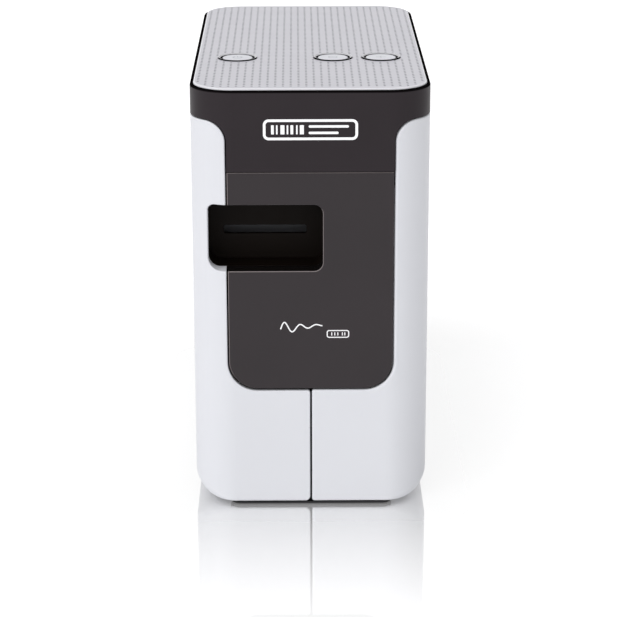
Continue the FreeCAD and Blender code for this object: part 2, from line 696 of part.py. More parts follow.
def feed_motor():
    """Motor can with its front boss, clear of the pinion's shaft."""
    can = rod_x((GEAR_PLATE_X[1], 33.0), MOTOR, 10.0)
    tail = rod_x((33.0, 35.0), MOTOR, 3.0)
    return join([can, tail]).cut(rod_x((GEAR_PLATE_X[1], 14.5), MOTOR, 1.0))


PLATE_POSTS = [(y, z) for y in (-44.0, 12.0) for z in (63.0, 98.0)]


def gear_plate():
    """Sheet that holds the feed motor and the outer ends of the gear studs."""
    plate = box(GEAR_PLATE_X, (-47.0, 15.0), (54.0, 101.0))
    cuts = [rod_x(grown(GEAR_PLATE_X, 1), MOTOR, 1.6)]
    for centre in STUDS:
        cuts.append(rod_x(grown(GEAR_PLATE_X, 1), centre, STUD_RADIUS))
    for centre in PLATE_POSTS:
        cuts.append(rod_x(grown(GEAR_PLATE_X, 1), centre, SCREW_RADIUS))
    for cut in cuts:
        plate = plate.cut(cut)
    return plate


def gear_studs():
    return [rod_x((FLOOR_X[0], GEAR_PLATE_X[1]), centre, STUD_RADIUS) for centre in STUDS]


def drive_spindle():
    """Moulded gear and spindle that turns the cassette's drive roller."""
    wheel = gear(TEETH["drive"], MODULE, GEAR_X, DRIVE, DRIVE_PHASE)
    return join([wheel, rod_x((-26.0, 8.0), DRIVE, SHAFT_RADIUS)])


def takeup_spindle():
    """Moulded gear and spindle that winds the used ribbon."""
    wheel = gear(TEETH["takeup"], MODULE, GEAR_X, TAKEUP, TAKEUP_PHASE)
    return join([wheel, rod_x((-22.0, 8.0), TAKEUP, 2.2)])


# ================================================================ chassis
def chassis_face():
    """Plate towards the door, with the cassette bay's mouth and the door hooks' slots."""
    plate = box(FACE_X, CHASSIS_Y, (22.0, CHASSIS_TOP))
    pieces = [plate, box(FACE_X, (-38.0, -14.0), (CHASSIS_TOP - 1, 130.0))]
    for y in (-50.0, 44.0):
        pieces.append(box(FACE_X, (y, y + 6.0), (TRAY_ROOF, 24.0)))
    face = join(pieces).cut(box(grown(FACE_X, 1), BAY_Y, BAY_Z))
    for z in (32.0, 120.0):
        face = face.cut(box(grown(FACE_X, 1), (-53.0, -45.0), (z - 0.8, z + 2.8)))
    return face


def cassette_bay():
    """Four walls round the cassette, with the gap that the tape leaves through and the cutter's spacers."""
    wall_y, wall_z = grown(BAY_Y, BAY_WALL), grown(BAY_Z, BAY_WALL)
    pieces = [box((FACE_X[1], FLOOR_X[0]), wall_y, wall_z)]
    for z in (64.0, 78.0):
        pieces.append(box((-20.0, -16.0), (CUTTER_FRAME_Y[1], wall_y[0]), (z, z + 4.0)))
    tube = join(pieces)
    tube = tube.cut(box((FACE_X[1] - 1, FLOOR_X[0] + 1), BAY_Y, BAY_Z))
    return tube.cut(box((-29.0, -1.0), (wall_y[0] - 1, BAY_Y[0] + 0.1), (89.5, 95.0)))


def bulkhead():
    """Upright plate that the cassette seats against, with its foot, braces and gear plate posts."""
    pieces = [box(FLOOR_X, CHASSIS_Y, (TRAY_ROOF, CHASSIS_TOP)),
              box((-22.0, 22.0), (-51.0, 51.0), (TRAY_ROOF, TRAY_ROOF + 1.5)),
              box((FLOOR_X[0], FLOOR_X[0] + 1.6), (-38.0, -14.0), (CHASSIS_TOP - 1, 130.0))]
    for z in (30.0, 96.0):
        pieces.append(box(FLOOR_X, (CHASSIS_Y[1], BOARD_Y[0]), (z, z + 10.0)))
    for y in (-50.0, 44.0):
        pieces.append(box((FACE_X[1], -21.0), (y, y + 6.0), (TRAY_ROOF, TRAY_ROOF + 1.5)))
        pieces.append(box((FACE_X[1], FLOOR_X[0]), (y, y + 6.0), (CHASSIS_TOP - 2, CHASSIS_TOP)))
    for centre in PLATE_POSTS:
        pieces.append(rod_x((FLOOR_X[1] - 0.5, GEAR_PLATE_X[0]), centre, 2.4))
    plate = join(pieces)
    cuts = [box(grown(FLOOR_X, 1), (-34.2, -29.3), (94.5, 101.8)),
            box(grown(FLOOR_X, 1), (CHASSIS_Y[0] - 1, CUTTER_FRAME_Y[1] + 0.2), (61.0, 108.0))]
    holes = [(DRIVE, SHAFT_RADIUS + RUNNING), (TAKEUP, 2.2 + RUNNING), (HOLDER_PIVOT, SHAFT_RADIUS)]
    holes += [(centre, STUD_RADIUS) for centre in STUDS]
    cuts += [rod_x(grown(FLOOR_X, 0.9), centre, radius) for centre, radius in holes]
    cuts += [rod_x((FLOOR_X[1] + 1, GEAR_PLATE_X[0] + 1), centre, SCREW_RADIUS) for centre in PLATE_POSTS]
    cuts += [rod_z((TRAY_ROOF - 1, TRAY_ROOF + 3), centre, SCREW_RADIUS) for centre in CHASSIS_SCREWS]
    for cut in cuts:
        plate = plate.cut(cut)
    return plate


def exit_chute():
    """Dark box behind the window that the label comes out through, with a slit in its back wall."""
    y = (-68.5, -58.0)
    outer = box(grown(WINDOW_X, 0.9), y, grown(WINDOW_Z, 1.0))
    inner = window_region(0, (y[0] - 1, y[1] - 1.5))
    chute = outer.cut(inner)
    slit = prism_y(rectangle((-28.8, -1.2), (90.4, 93.4)), grown(y, 1), [0.8] * 4)
    legs = [box((2.0, 4.9), (y[1] - 0.1, CHASSIS_Y[0]), (z, z + 4)) for z in (82.0, 99.0)]
    return join([chute.cut(slit)] + legs)


def print_head_heatsink():
    block = box((-28.0, FLOOR_X[0]), (-35.5, -27.5), (84.0, 90.4))
    for z in (85.5, 87.5):
        block = block.cut(box((-27.0, -1.0), (-29.5, -27.0), (z, z + 1.0)))
    return block


def print_head():
    return box((-28.0, 0.0), (-35.5, -27.5), (90.4, 91.4))


# ================================================================ roller holder
def roller_holder():
    """Swinging frame that presses both rollers on the tape."""
    cheek = [(-45.0, 93.2), (-26.5, 93.2), (-22.0, 98.8), (-0.5, 98.8), (-0.5, 106.0), (-45.0, 106.0)]
    radii = [2.0, 1.0, 2.0, 3.0, 1.0, 1.0]
    holder = join([prism_x(cheek, (-30.6, -29.4), radii), prism_x(cheek, (-0.8, 0.5), radii),
                   box((-30.0, 0.0), (-44.0, -3.0), (104.6, 106.0))])
    for centre, radius in ((PLATEN, SHAFT_RADIUS), (PINCH, PINCH_SHAFT_RADIUS), (HOLDER_PIVOT, SHAFT_RADIUS)):
        holder = holder.cut(rod_x((-32, 2), centre, radius + RUNNING))
    return holder


def holder_pivot_pin():
    return rod_x((-31.2, FLOOR_X[1]), HOLDER_PIVOT, SHAFT_RADIUS)


def holder_spring():
    """Coil between the holder's web and the bay's ceiling."""
    spring = coil(2.6, 0.35, 1.6, BAY_Z[1] - 106.0 - 0.9)
    spring.translate(Vector(-15.0, -34.0, 106.45))
    return spring


# ================================================================ cassette
CASE_OUTLINE = [(-46.0, 50.0), (17.0, 50.0), (17.0, 95.5), (-24.0, 95.5), (-24.0, 91.0), (-27.0, 91.0),
                (-27.0, 83.0), (-36.0, 83.0), (-36.0, 91.0), (-46.0, 91.0)]
CASE_RADII = [2.0, 3.0, 3.0, 1.0, 0, 0, 0, 0, 0, 1.0]


def cassette_half(x, plate_x, plain):
    """Half of the cassette's case: rim wall, side plate and the posts that its spools turn on."""
    block = prism_x(CASE_OUTLINE, x, CASE_RADII)
    inside = prism_x(inset_outline(), x, [0.8] * 10)
    plate = prism_x(CASE_OUTLINE, plate_x, CASE_RADII)
    half = join([block.cut(inside), plate])
    if plain:
        half = half.cut(rod_x(grown(CASE_X, 1), DRIVE, 2.1)).cut(rod_x(grown(CASE_X, 1), TAKEUP, 2.9))
    half = half.cut(box((-27.6, -2.4), (-44.7, -37.3), (89.7, 92.0)))
    half = half.cut(box((-27.4, -2.6), (-26.0, -22.0), (91.3, 92.2)))
    return half


def inset_outline():
    """The cassette's inside, one wall thickness in."""
    w = CASE_WALL
    return [(-46.0 + w, 50.0 + w), (17.0 - w, 50.0 + w), (17.0 - w, 95.5 - w), (-24.0 + w, 95.5 - w),
            (-24.0 + w, 91.0 - w), (-27.0 + w, 91.0 - w), (-27.0 + w, 83.0 - w), (-36.0 - w, 83.0 - w),
            (-36.0 - w, 91.0 - w), (-46.0 + w, 91.0 - w)]


def cassette_case_inner():
    """Half that seats on the bay floor, with the posts."""
    half = cassette_half((-15.0, CASE_X[1]), (CASE_X[1] - CASE_WALL, CASE_X[1]), True)
    post_x = (-28.0, CASE_X[1] - 0.5)
    return join([half, rod_x(post_x, REEL, 5.0), rod_x(post_x, SUPPLY, 1.9)])


def cassette_case_outer():
    half = cassette_half((CASE_X[0], -15.0), (CASE_X[0], CASE_X[0] + CASE_WALL), False)
    peek = prism_x(rectangle((-8.0, 10.0), (77.0, 88.0)), (CASE_X[0] - 1, CASE_X[0] + 2), [2.0] * 4)
    return half.cut(peek)


def tape_reel():
    """Hub and the label tape wound on it."""
    return ring_x((TAPE_X[0] + 0.2, TAPE_X[1] - 0.2), REEL, (5.15, REEL_RADIUS))


def label_tape():
    """Tape from the reel over the head and through both pairs of rollers to the cassette's mouth."""
    low, high = TAPE_Z
    top = REEL[1] + REEL_RADIUS
    points = [(REEL[0], top + 0.1), (-22.0, low), (-45.8, low), (-45.8, high), (-22.0, high),
              (REEL[0], top + 0.25)]
    return prism_x(points, TAPE_X)


def spool(centre, bore, radius):
    return ring_x(TAPE_X, centre, (bore, radius))


# ================================================================ cutter
def cutter_frame():
    points = [(-30.0, 62.0), (35.5, 62.0), (35.5, 97.0), (2.5, 97.0), (2.5, 90.4), (-30.0, 90.4)]
    plate = prism_y(points, CUTTER_FRAME_Y, [1.5, 1.5, 1.5, 1.5, 0, 1.0])
    span = grown(CUTTER_FRAME_Y, 1)
    plate = plate.cut(rod_y(span, BLADE_PIVOT, SHAFT_RADIUS)).cut(rod_y(span, CRANK, SHAFT_RADIUS))
    plate = plate.cut(box((CRANK[0] - 6.4, CRANK[0] - 2.4), span, grown((CRANK[1], CRANK[1]), 3.4)))
    for centre in BLADE_SCREWS:
        plate = plate.cut(rod_y(span, centre, SCREW_RADIUS))
    return join([plate, rod_y((CUTTER_FRAME_Y[0], CRANK_GEAR_Y[1] + 0.4), CRANK, SHAFT_RADIUS)])


def fixed_blade():
    points = [(-29.0, 80.0), (1.5, 80.0), (1.5, 91.2), (-29.0, 91.2)]
    blade = prism_y(points, FIXED_BLADE_Y)
    edge = [e for e in blade.Edges if e.BoundBox.ZMin > 91.1 and e.BoundBox.YMin > FIXED_BLADE_Y[1] - 0.01]
    blade = blade.makeChamfer(0.7, edge)
    for centre in BLADE_SCREWS:
        blade = blade.cut(rod_y(grown(FIXED_BLADE_Y, 1), centre, SCREW_RADIUS))
    return blade


def blade_swing():
    """How far the blade's tail hangs below the line of centres at rest; it rises by as much when closed."""
    reach = CRANK[0] - BLADE_PIVOT[0] - CRANK_THROW * math.cos(math.radians(CRANK_REST_DEG))
    return math.degrees(math.atan2(CRANK_THROW * math.sin(math.radians(CRANK_REST_DEG)), reach))


def moving_blade():
    """Scissor blade at rest, open: the arm swung up, and the slotted tail that the crank pin moves."""
    px, pz = BLADE_PIVOT
    pivot, up = Vector(px, 0, pz), Vector(0, 1, 0)
    arm = [(-38.0, 4.6), (-38.0, 8.5), (-8.0, 12.0), (4.0, 5.0), (4.0, -4.0), (-4.5, -4.0), (-6.5, 4.6)]
    arm = prism_y([(px + x, pz + z) for x, z in arm], MOVING_BLADE_Y, [0.4, 2.0, 4.0, 3.0, 3.0, 3.0, 2.0])
    tail_x = CRANK[0] - CRANK_THROW - px
    tail = prism_y(rectangle((px, px + tail_x + 4.0), (pz - 3.6, pz + 3.6)), MOVING_BLADE_Y, [2.0] * 4)
    slot = rectangle((px + tail_x - 1.4, px + tail_x + 1.75), grown((pz, pz), CRANK_PIN_RADIUS + 0.16))
    tail = tail.cut(prism_y(slot, grown(MOVING_BLADE_Y, 1), [1.1] * 4))
    arm.rotate(pivot, up, 2 * blade_swing())
    tail.rotate(pivot, up, blade_swing())
    return join([arm, tail]).cut(rod_y(grown(MOVING_BLADE_Y, 1), BLADE_PIVOT, SHAFT_RADIUS + RUNNING))


def blade_pivot():
    return join([rod_y((-53.2, CUTTER_FRAME_Y[1]), BLADE_PIVOT, SHAFT_RADIUS),
                 rod_y((-54.0, -53.0), BLADE_PIVOT, 2.8)])


def crank_pin_at():
    return stepped(CRANK, CRANK_THROW, 180 + CRANK_REST_DEG)


CUTTER_MOTOR = (CRANK[0], CRANK[1] - centres_apart("crank", "cutter"))
CUTTER_PINION_PHASE = meshed_phase("crank", "cutter", CRANK, CUTTER_MOTOR, 0.0)


def cutter_gear():
    wheel = gear(TEETH["crank"], MODULE, CRANK_GEAR_Y, CRANK, 0.0, "y")
    wheel = wheel.cut(rod_y(grown(CRANK_GEAR_Y, 1), CRANK, SHAFT_RADIUS + RUNNING))
    return join([wheel, rod_y((-53.0, CRANK_GEAR_Y[1]), crank_pin_at(), CRANK_PIN_RADIUS)])


def cutter_pinion():
    pinion = gear(TEETH["cutter"], MODULE, CRANK_GEAR_Y, CUTTER_MOTOR, CUTTER_PINION_PHASE, "y")
    return join([pinion, rod_y((CRANK_GEAR_Y[0], -42.5), CUTTER_MOTOR, 0.9)])


def cutter_motor():
    can = rod_y((-45.4, -24.0), CUTTER_MOTOR, 8.0)
    bracket = box((19.0, 35.5), (-46.2, -45.4), (64.0, 78.0))
    lug = box((33.9, 35.5), (CUTTER_FRAME_Y[1], -45.4), (64.0, 76.0))
    return join([can, bracket, lug]).cut(rod_y((-47.0, -42.0), CUTTER_MOTOR, 1.1))


# ================================================================ boards and sockets
def main_board():
    """Rear circuit board with its chips, coil and capacitors."""
    board = box((-27.0, 32.0), BOARD_Y, (24.0, 112.0))
    front = BOARD_Y[1]
    parts = [board, box((-8.0, 6.0), (front, front + 1.4), (72.0, 86.0)),
             box((14.0, 24.0), (front, front + 1.2), (60.0, 68.0)),
             box((-24.0, -14.0), (front, front + 4.0), (56.0, 66.0))]
    for x in (12.0, 20.0, 27.0):
        parts.append(rod_y((front, front + 8.0), (x, 98.0), 3.0))
    return join(parts)


def usb_port():
    """Square socket: metal shell with its tongue."""
    x, z = USB_AT
    shell = box(grown((x, x), 6.0), (BOARD_Y[1], BACK - 0.6), grown((z, z), 5.5))
    shell = shell.cut(box(grown((x, x), 4.25), (66.0, BACK), grown((z, z), 3.9)))
    return join([shell, box(grown((x, x), 2.8), (65.5, 74.5), grown((z, z), 1.6))])


def dc_jack():
    """Round low-voltage socket and, as a solid of its own, its centre pin."""
    x, z = JACK_AT
    block = box(grown((x, x), 4.5), (BOARD_Y[1], BACK - 2.6), grown((z, z), 5.5))
    socket = join([block, rod_y((BACK - 3, BACK - 0.6), JACK_AT, 4.0)])
    pin = rod_y((64.0, 74.6), JACK_AT, 0.65)
    return [socket.cut(rod_y((65.5, BACK), JACK_AT, 2.75)).cut(pin), pin]


def screw(axis_rod, start, head_end, centre):
    """A pan-head screw: shank from start to the head, head to head_end."""
    radius, height = SCREW_HEAD
    inward = 1 if head_end > start else -1
    neck = head_end - inward * height
    shank = axis_rod(tuple(sorted((start, neck))), centre, SCREW_RADIUS)
    return join([shank, axis_rod(tuple(sorted((neck, head_end))), centre, radius)])


def machine_screws():
    screws = [screw(rod_y, BACK - 8.5, BACK - PANEL_RECESS, c) for c in REAR_SCREWS]
    screws += [screw(rod_z, TRAY_ROOF - 1.0, TRAY_ROOF + 2.8, c) for c in CHASSIS_SCREWS]
    screws += [screw(rod_y, -49.3, FIXED_BLADE_Y[0] - 1.3, c) for c in BLADE_SCREWS]
    screws += [screw(rod_x, FLOOR_X[1] + 2, GEAR_PLATE_X[1] + 1.3, c) for c in PLATE_POSTS]
    return screws


# ================================================================ build
def save_case():
    skin = case_body(0)
    walls = skin.cut(case_body(WALL))
    save("cassette_door", cassette_door(walls, skin))
    save("main_housing", main_housing(walls, skin))
    save("top_cap", top_cap(walls))
    save("top_plate", top_plate())
    save("front_panel", front_panel())
    save("rear_panel", rear_panel())


def save_base():
    save("base_housing", base_housing())
    save("rubber_feet", *rubber_feet())
    save("battery_cover", battery_cover())
    save("battery_cells", *battery_cells())
    save("battery_contacts", *battery_contacts())


def save_buttons():
    for name, x in BUTTON_X.items():
        save(name, button(x))
    save("button_bezels", *[button_bezel(x) for x in BUTTON_X.values()])
    save("button_light_rings", *[button_light_ring(x) for x in BUTTON_X.values()])
    save("button_guide", button_guide())
    save("button_board", button_board())
    save("tact_switches", *tact_switches())


def save_chassis():
    save("chassis_face", chassis_face())
    save("cassette_bay", cassette_bay())
    save("bulkhead", bulkhead())
    save("exit_chute", exit_chute())
    save("print_head_heatsink", print_head_heatsink())
    save("print_head", print_head())


def save_rollers():
    save("roller_holder", roller_holder())
    save("holder_spring", holder_spring())
    save("platen_roller", ring_x((-28.5, -1.5), PLATEN, (SHAFT_RADIUS, PLATEN_RADIUS)))
    save("platen_shaft", rod_x((-30.9, GEAR_X[1] + 0.8), PLATEN, SHAFT_RADIUS))
    save("platen_gear", gear(TEETH["platen"], MODULE, GEAR_X, PLATEN, PLATEN_PHASE).cut(
        rod_x(grown(GEAR_X, 1), PLATEN, SHAFT_RADIUS)))
    save("pinch_roller", ring_x((-28.0, -2.0), PINCH, (PINCH_SHAFT_RADIUS, PINCH_RADIUS)))
    save("pinch_shaft", rod_x((-30.9, 0.7), PINCH, PINCH_SHAFT_RADIUS))


def save_drive():
    save("feed_motor", feed_motor())
    save("motor_pinion", motor_pinion())
    save("compound_gear", compound_gear())
    save("feed_idler_gear", stud_gear("idler", IDLER, IDLER_PHASE))
    save("reversing_gear", stud_gear("reverse", REVERSE, REVERSE_PHASE))
    save("takeup_idler_gear", stud_gear("second", SECOND, SECOND_PHASE))
    save("gear_plate", gear_plate())
    save("drive_spindle", drive_spindle())
    save("takeup_spindle", takeup_spindle())


def save_cassette():
    save("cassette_drive_roller", ring_x((-26.8, -3.2), DRIVE, (SHAFT_RADIUS, DRIVE_RADIUS)))
    save("ribbon_takeup_spool", spool(TAKEUP, 2.2, 5.2))
    save("ribbon_supply_spool", spool(SUPPLY, 2.05, 5.0))
    save("tape_reel", tape_reel())
    save("label_tape", label_tape())
    save("cassette_case_inner", cassette_case_inner())
    save("cassette_case_outer", cassette_case_outer())


def save_cutter():
    save("cutter_frame", cutter_frame())
    save("fixed_blade", fixed_blade())
    save("moving_blade", moving_blade())
    save("cutter_gear", cutter_gear())
    save("cutter_pinion", cutter_pinion())
    save("cutter_motor", cutter_motor())


def save_electronics():
    save("main_board", main_board())
    save("usb_port", usb_port())
    save("dc_jack", *dc_jack())
    save("machine_screws", *machine_screws())
    save("steel_pins", *hinge_pins(), *gear_studs(), holder_pivot_pin(), blade_pivot())


save_case()
save_base()
save_buttons()
save_chassis()
save_rollers()
save_drive()
save_cassette()
save_cutter()
save_electronics()
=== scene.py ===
"""Looks of the upright desktop label maker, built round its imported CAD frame.

Metres, +Z up, front at -Y.
"""

import json
import math

import bpy
from mathutils import Matrix, Vector
from mathutils.geometry import delaunay_2d_cdt


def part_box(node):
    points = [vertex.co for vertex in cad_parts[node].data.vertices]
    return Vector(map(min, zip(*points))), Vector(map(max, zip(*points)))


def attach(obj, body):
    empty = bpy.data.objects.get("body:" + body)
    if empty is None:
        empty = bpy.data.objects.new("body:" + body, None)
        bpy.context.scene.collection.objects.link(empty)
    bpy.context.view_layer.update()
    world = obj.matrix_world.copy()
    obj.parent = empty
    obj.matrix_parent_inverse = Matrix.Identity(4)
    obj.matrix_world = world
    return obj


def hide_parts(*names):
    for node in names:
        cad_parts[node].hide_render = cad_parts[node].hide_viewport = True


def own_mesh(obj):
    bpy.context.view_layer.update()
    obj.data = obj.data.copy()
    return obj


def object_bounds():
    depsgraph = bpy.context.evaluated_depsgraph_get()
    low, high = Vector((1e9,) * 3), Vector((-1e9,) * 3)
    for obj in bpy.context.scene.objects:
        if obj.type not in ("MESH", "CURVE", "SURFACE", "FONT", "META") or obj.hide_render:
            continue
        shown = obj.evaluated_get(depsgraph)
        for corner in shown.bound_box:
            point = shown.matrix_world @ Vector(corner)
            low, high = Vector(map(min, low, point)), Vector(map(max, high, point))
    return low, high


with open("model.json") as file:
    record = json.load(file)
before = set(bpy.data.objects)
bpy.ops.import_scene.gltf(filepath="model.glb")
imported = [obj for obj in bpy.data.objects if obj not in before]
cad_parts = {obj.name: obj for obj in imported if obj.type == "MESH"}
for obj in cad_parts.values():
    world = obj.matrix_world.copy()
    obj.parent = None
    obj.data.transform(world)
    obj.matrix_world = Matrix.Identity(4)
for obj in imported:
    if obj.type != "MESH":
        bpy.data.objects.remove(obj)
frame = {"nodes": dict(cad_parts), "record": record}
CAD_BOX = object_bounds()
NODES = frame["nodes"]
MM = 0.001


def srgb(red, green, blue):
    """Linear RGBA of a colour given as 0 to 255 display values."""
    def linear(value):
        value /= 255
        return value / 12.92 if value <= 0.04045 else ((value + 0.055) / 1.055) ** 2.4
    return (linear(red), linear(green), linear(blue), 1.0)


# ---------------------------------------------------------------- camera, floor and light
CAMERA_AT = Vector((-0.0047, -0.7625, 0.2901))
CAMERA_PITCH, CAMERA_YAW, CAMERA_ROLL = -17.818, -0.328, -0.14
LENS, SENSOR = 128.44, 36.0


def add_camera():
    data = bpy.data.cameras.new("camera")
    data.lens, data.sensor_width = LENS, SENSOR
    camera = bpy.data.objects.new("camera", data)
    bpy.context.scene.collection.objects.link(camera)
    turn = (Matrix.Rotation(math.radians(CAMERA_YAW), 4, "Z")
            @ Matrix.Rotation(math.radians(90 + CAMERA_PITCH), 4, "X")
            @ Matrix.Rotation(math.radians(CAMERA_ROLL), 4, "Z"))
    camera.matrix_world = Matrix.Translation(CAMERA_AT) @ turn
    bpy.context.scene.camera = camera


def add_sun(name, azimuth, elevation, spread, strength):
    """Soft parallel light; azimuth is measured from the front towards the left."""
    data = bpy.data.lights.new(name, "SUN")
    data.energy, data.angle = strength, math.radians(spread)
    light = bpy.data.objects.new(name, data)
    bpy.context.scene.collection.objects.link(light)
    turn, rise = math.radians(azimuth), math.radians(elevation)
    towards = Vector((-math.sin(turn) * math.cos(rise), -math.cos(turn) * math.cos(rise), math.sin(rise)))
    light.rotation_euler = towards.to_track_quat("Z", "Y").to_euler()


def add_softbox(name, place, target, size, watts):
    data = bpy.data.lights.new(name, "AREA")
    data.size, data.energy = size, watts
    light = bpy.data.objects.new(name, data)
    bpy.context.scene.collection.objects.link(light)
    light.location = place
    light.rotation_euler = (Vector(place) - Vector(target)).to_track_quat("Z", "Y").to_euler()


SKY_FILL = 0.5            # how brightly the surroundings light the object
SKY_MIRRORED = 1.15       # how bright they look in reflections


def add_studio():
    """Even white surroundings, a soft key from the front left and an overhead softbox."""
    world = bpy.data.worlds.new("studio")
    world.use_nodes = True
    tree = world.node_tree
    path = tree.nodes.new("ShaderNodeLightPath")
    level = remap(tree, path.outputs["Is Glossy Ray"], SKY_FILL, SKY_MIRRORED, 0.0, 1.0)
    tree.links.new(level, tree.nodes["Background"].inputs["Strength"])
    tree.nodes["Background"].inputs["Color"].default_value = (1.0, 1.0, 1.0, 1.0)
    bpy.context.scene.world = world
    add_sun("key", 40.0, 40.0, 60.0, 1.6)
    add_softbox("softbox_above", (-0.05, -0.2, 0.9), (0.0, -0.05, 0.1), 0.25, 1.2)
    bpy.context.scene.view_settings.view_transform = "Standard"


FLOOR_GLOW = 0.6
FLOOR_POLISH = 0.8       # share of light that the table mirrors beside the object
POLISH_REACH = 0.12        # metres from the object to where the polish has faded out


def reach_outside(tree, half):
    """Distance outside a rectangle on the floor with the given half width and depth."""
    split = tree.nodes.new("ShaderNodeSeparateXYZ")
    tree.links.new(place_input(tree), split.inputs["Vector"])
    squares = []
    for axis, extent in zip("XY", half):
        size = calculate(tree, "ABSOLUTE", split.outputs[axis])
        over = calculate(tree, "MAXIMUM", calculate(tree, "SUBTRACT", size, extent), 0.0)
        squares.append(calculate(tree, "MULTIPLY", over, over))
    return calculate(tree, "SQRT", calculate(tree, "ADD", *squares))


def add_floor():
    """Pale shooting table, faintly lit from below and polished close to the object."""
    half = 6.0
    mesh = bpy.data.meshes.new("floor")
    corners = [(-half, -half, 0), (half, -half, 0), (half, half, 0), (-half, half, 0)]
    mesh.from_pydata(corners, [], [(0, 1, 2, 3)])
    floor = bpy.data.objects.new("floor", mesh)
    bpy.context.scene.collection.objects.link(floor)
    material, tree, shader = new_material("studio_floor")
    shader.inputs["Base Color"].default_value = (0.62, 0.62, 0.625, 1.0)
    shader.inputs["Roughness"].default_value = 0.8
    shader.inputs["Emission Color"].default_value = (1.0, 1.0, 1.0, 1.0)
    shader.inputs["Emission Strength"].default_value = FLOOR_GLOW
    mirror = tree.nodes.new("ShaderNodeBsdfGlossy")
    mirror.inputs["Roughness"].default_value = 0.02
    mix = tree.nodes.new("ShaderNodeMixShader")
    distance = reach_outside(tree, (CAD_BOX[1].x, CAD_BOX[1].y))
    tree.links.new(remap(tree, distance, FLOOR_POLISH, 0.0, 0.0, POLISH_REACH), mix.inputs["Fac"])
    tree.links.new(shader.outputs["BSDF"], mix.inputs[1])
    tree.links.new(mirror.outputs["BSDF"], mix.inputs[2])
    tree.links.new(mix.outputs["Shader"], tree.nodes["Material Output"].inputs["Surface"])
    mesh.materials.append(material)


# ---------------------------------------------------------------- material building blocks
def new_material(name):
    material = bpy.data.materials.new(name)
    material.use_nodes = True
    tree = material.node_tree
    return material, tree, tree.nodes["Principled BSDF"]


def place_input(tree, scale=(1.0, 1.0, 1.0)):
    """Object coordinates in metres, stretched by a scale on each axis."""
    coordinates = tree.nodes.new("ShaderNodeTexCoord")
    mapping = tree.nodes.new("ShaderNodeMapping")
    mapping.inputs["Scale"].default_value = scale
    tree.links.new(coordinates.outputs["Object"], mapping.inputs["Vector"])
    return mapping.outputs["Vector"]


def noise(tree, size, stretch=(1.0, 1.0, 1.0), detail=2.0):
    """Noise whose lumps are about size metres across."""
    node = tree.nodes.new("ShaderNodeTexNoise")
    node.inputs["Scale"].default_value = 1 / size
    node.inputs["Detail"].default_value = detail
    tree.links.new(place_input(tree, stretch), node.inputs["Vector"])
    return node.outputs["Fac"]


def remap(tree, value, low, high, start=0.3, end=0.7):
    node = tree.nodes.new("ShaderNodeMapRange")
    node.inputs["From Min"].default_value, node.inputs["From Max"].default_value = start, end
    node.inputs["To Min"].default_value, node.inputs["To Max"].default_value = low, high
    tree.links.new(value, node.inputs["Value"])
    return node.outputs["Result"]


def calculate(tree, operation, *values):
    """A Math node on sockets or numbers."""
    node = tree.nodes.new("ShaderNodeMath")
    node.operation = operation
    for slot, value in zip(node.inputs, values):
        if isinstance(value, (int, float)):
            slot.default_value = value
        else:
            tree.links.new(value, slot)
    return node.outputs[0]


def blend_colours(tree, factor, first, second):
    node = tree.nodes.new("ShaderNodeMix")
    node.data_type = "RGBA"
    for socket, colour in (("A", first), ("B", second)):
        found = next(i for i in node.inputs if i.name == socket and i.type == "RGBA")
        if isinstance(colour, tuple):
            found.default_value = colour
        else:
            tree.links.new(colour, found)
    tree.links.new(factor, next(i for i in node.inputs if i.name == "Factor" and i.type == "VALUE"))
    return next(o for o in node.outputs if o.type == "RGBA")


def bump(tree, shader, height, distance, strength):
    node = tree.nodes.new("ShaderNodeBump")
    node.inputs["Distance"].default_value = distance
    node.inputs["Strength"].default_value = strength
    tree.links.new(height, node.inputs["Height"])
    tree.links.new(node.outputs["Normal"], shader.inputs["Normal"])


def shade(colour, factor):
    return tuple(min(1.0, c * factor) for c in colour[:3]) + (1.0,)


def moulded(name, colour, roughness, grain=0.35 * MM, depth=0.012 * MM, gloss=0.5, mottle=0.02, coat=0.0):
    """Moulded plastic: spark-eroded grain, faint colour drift and slightly uneven sheen."""
    material, tree, shader = new_material(name)
    drift = remap(tree, noise(tree, 22 * MM), 0.0, 1.0)
    tree.links.new(blend_colours(tree, drift, shade(colour, 1 - mottle), shade(colour, 1 + mottle)),
                   shader.inputs["Base Color"])
    tree.links.new(remap(tree, noise(tree, 6 * MM, detail=4.0), roughness - 0.03, roughness + 0.03),
                   shader.inputs["Roughness"])
    shader.inputs["Specular IOR Level"].default_value = gloss
    shader.inputs["Coat Weight"].default_value = coat
    shader.inputs["Coat Roughness"].default_value = 0.08
    bump(tree, shader, noise(tree, grain, detail=3.0), depth, 0.35)
    return material


def metal(name, colour, roughness, stretch=(1.0, 1.0, 1.0), scratch=0.25 * MM, depth=0.006 * MM):
    """Bare metal; a stretch below 1 on an axis draws its grain out along that axis."""
    material, tree, shader = new_material(name)
    grain = noise(tree, scratch, stretch, detail=5.0)
    streaks = blend_colours(tree, remap(tree, grain, 0.0, 1.0), shade(colour, 0.88), shade(colour, 1.05))
    tree.links.new(streaks, shader.inputs["Base Color"])
    tree.links.new(remap(tree, grain, roughness - 0.06, roughness + 0.08), shader.inputs["Roughness"])
    shader.inputs["Metallic"].default_value = 1.0
    bump(tree, shader, grain, depth, 0.4)
    return material


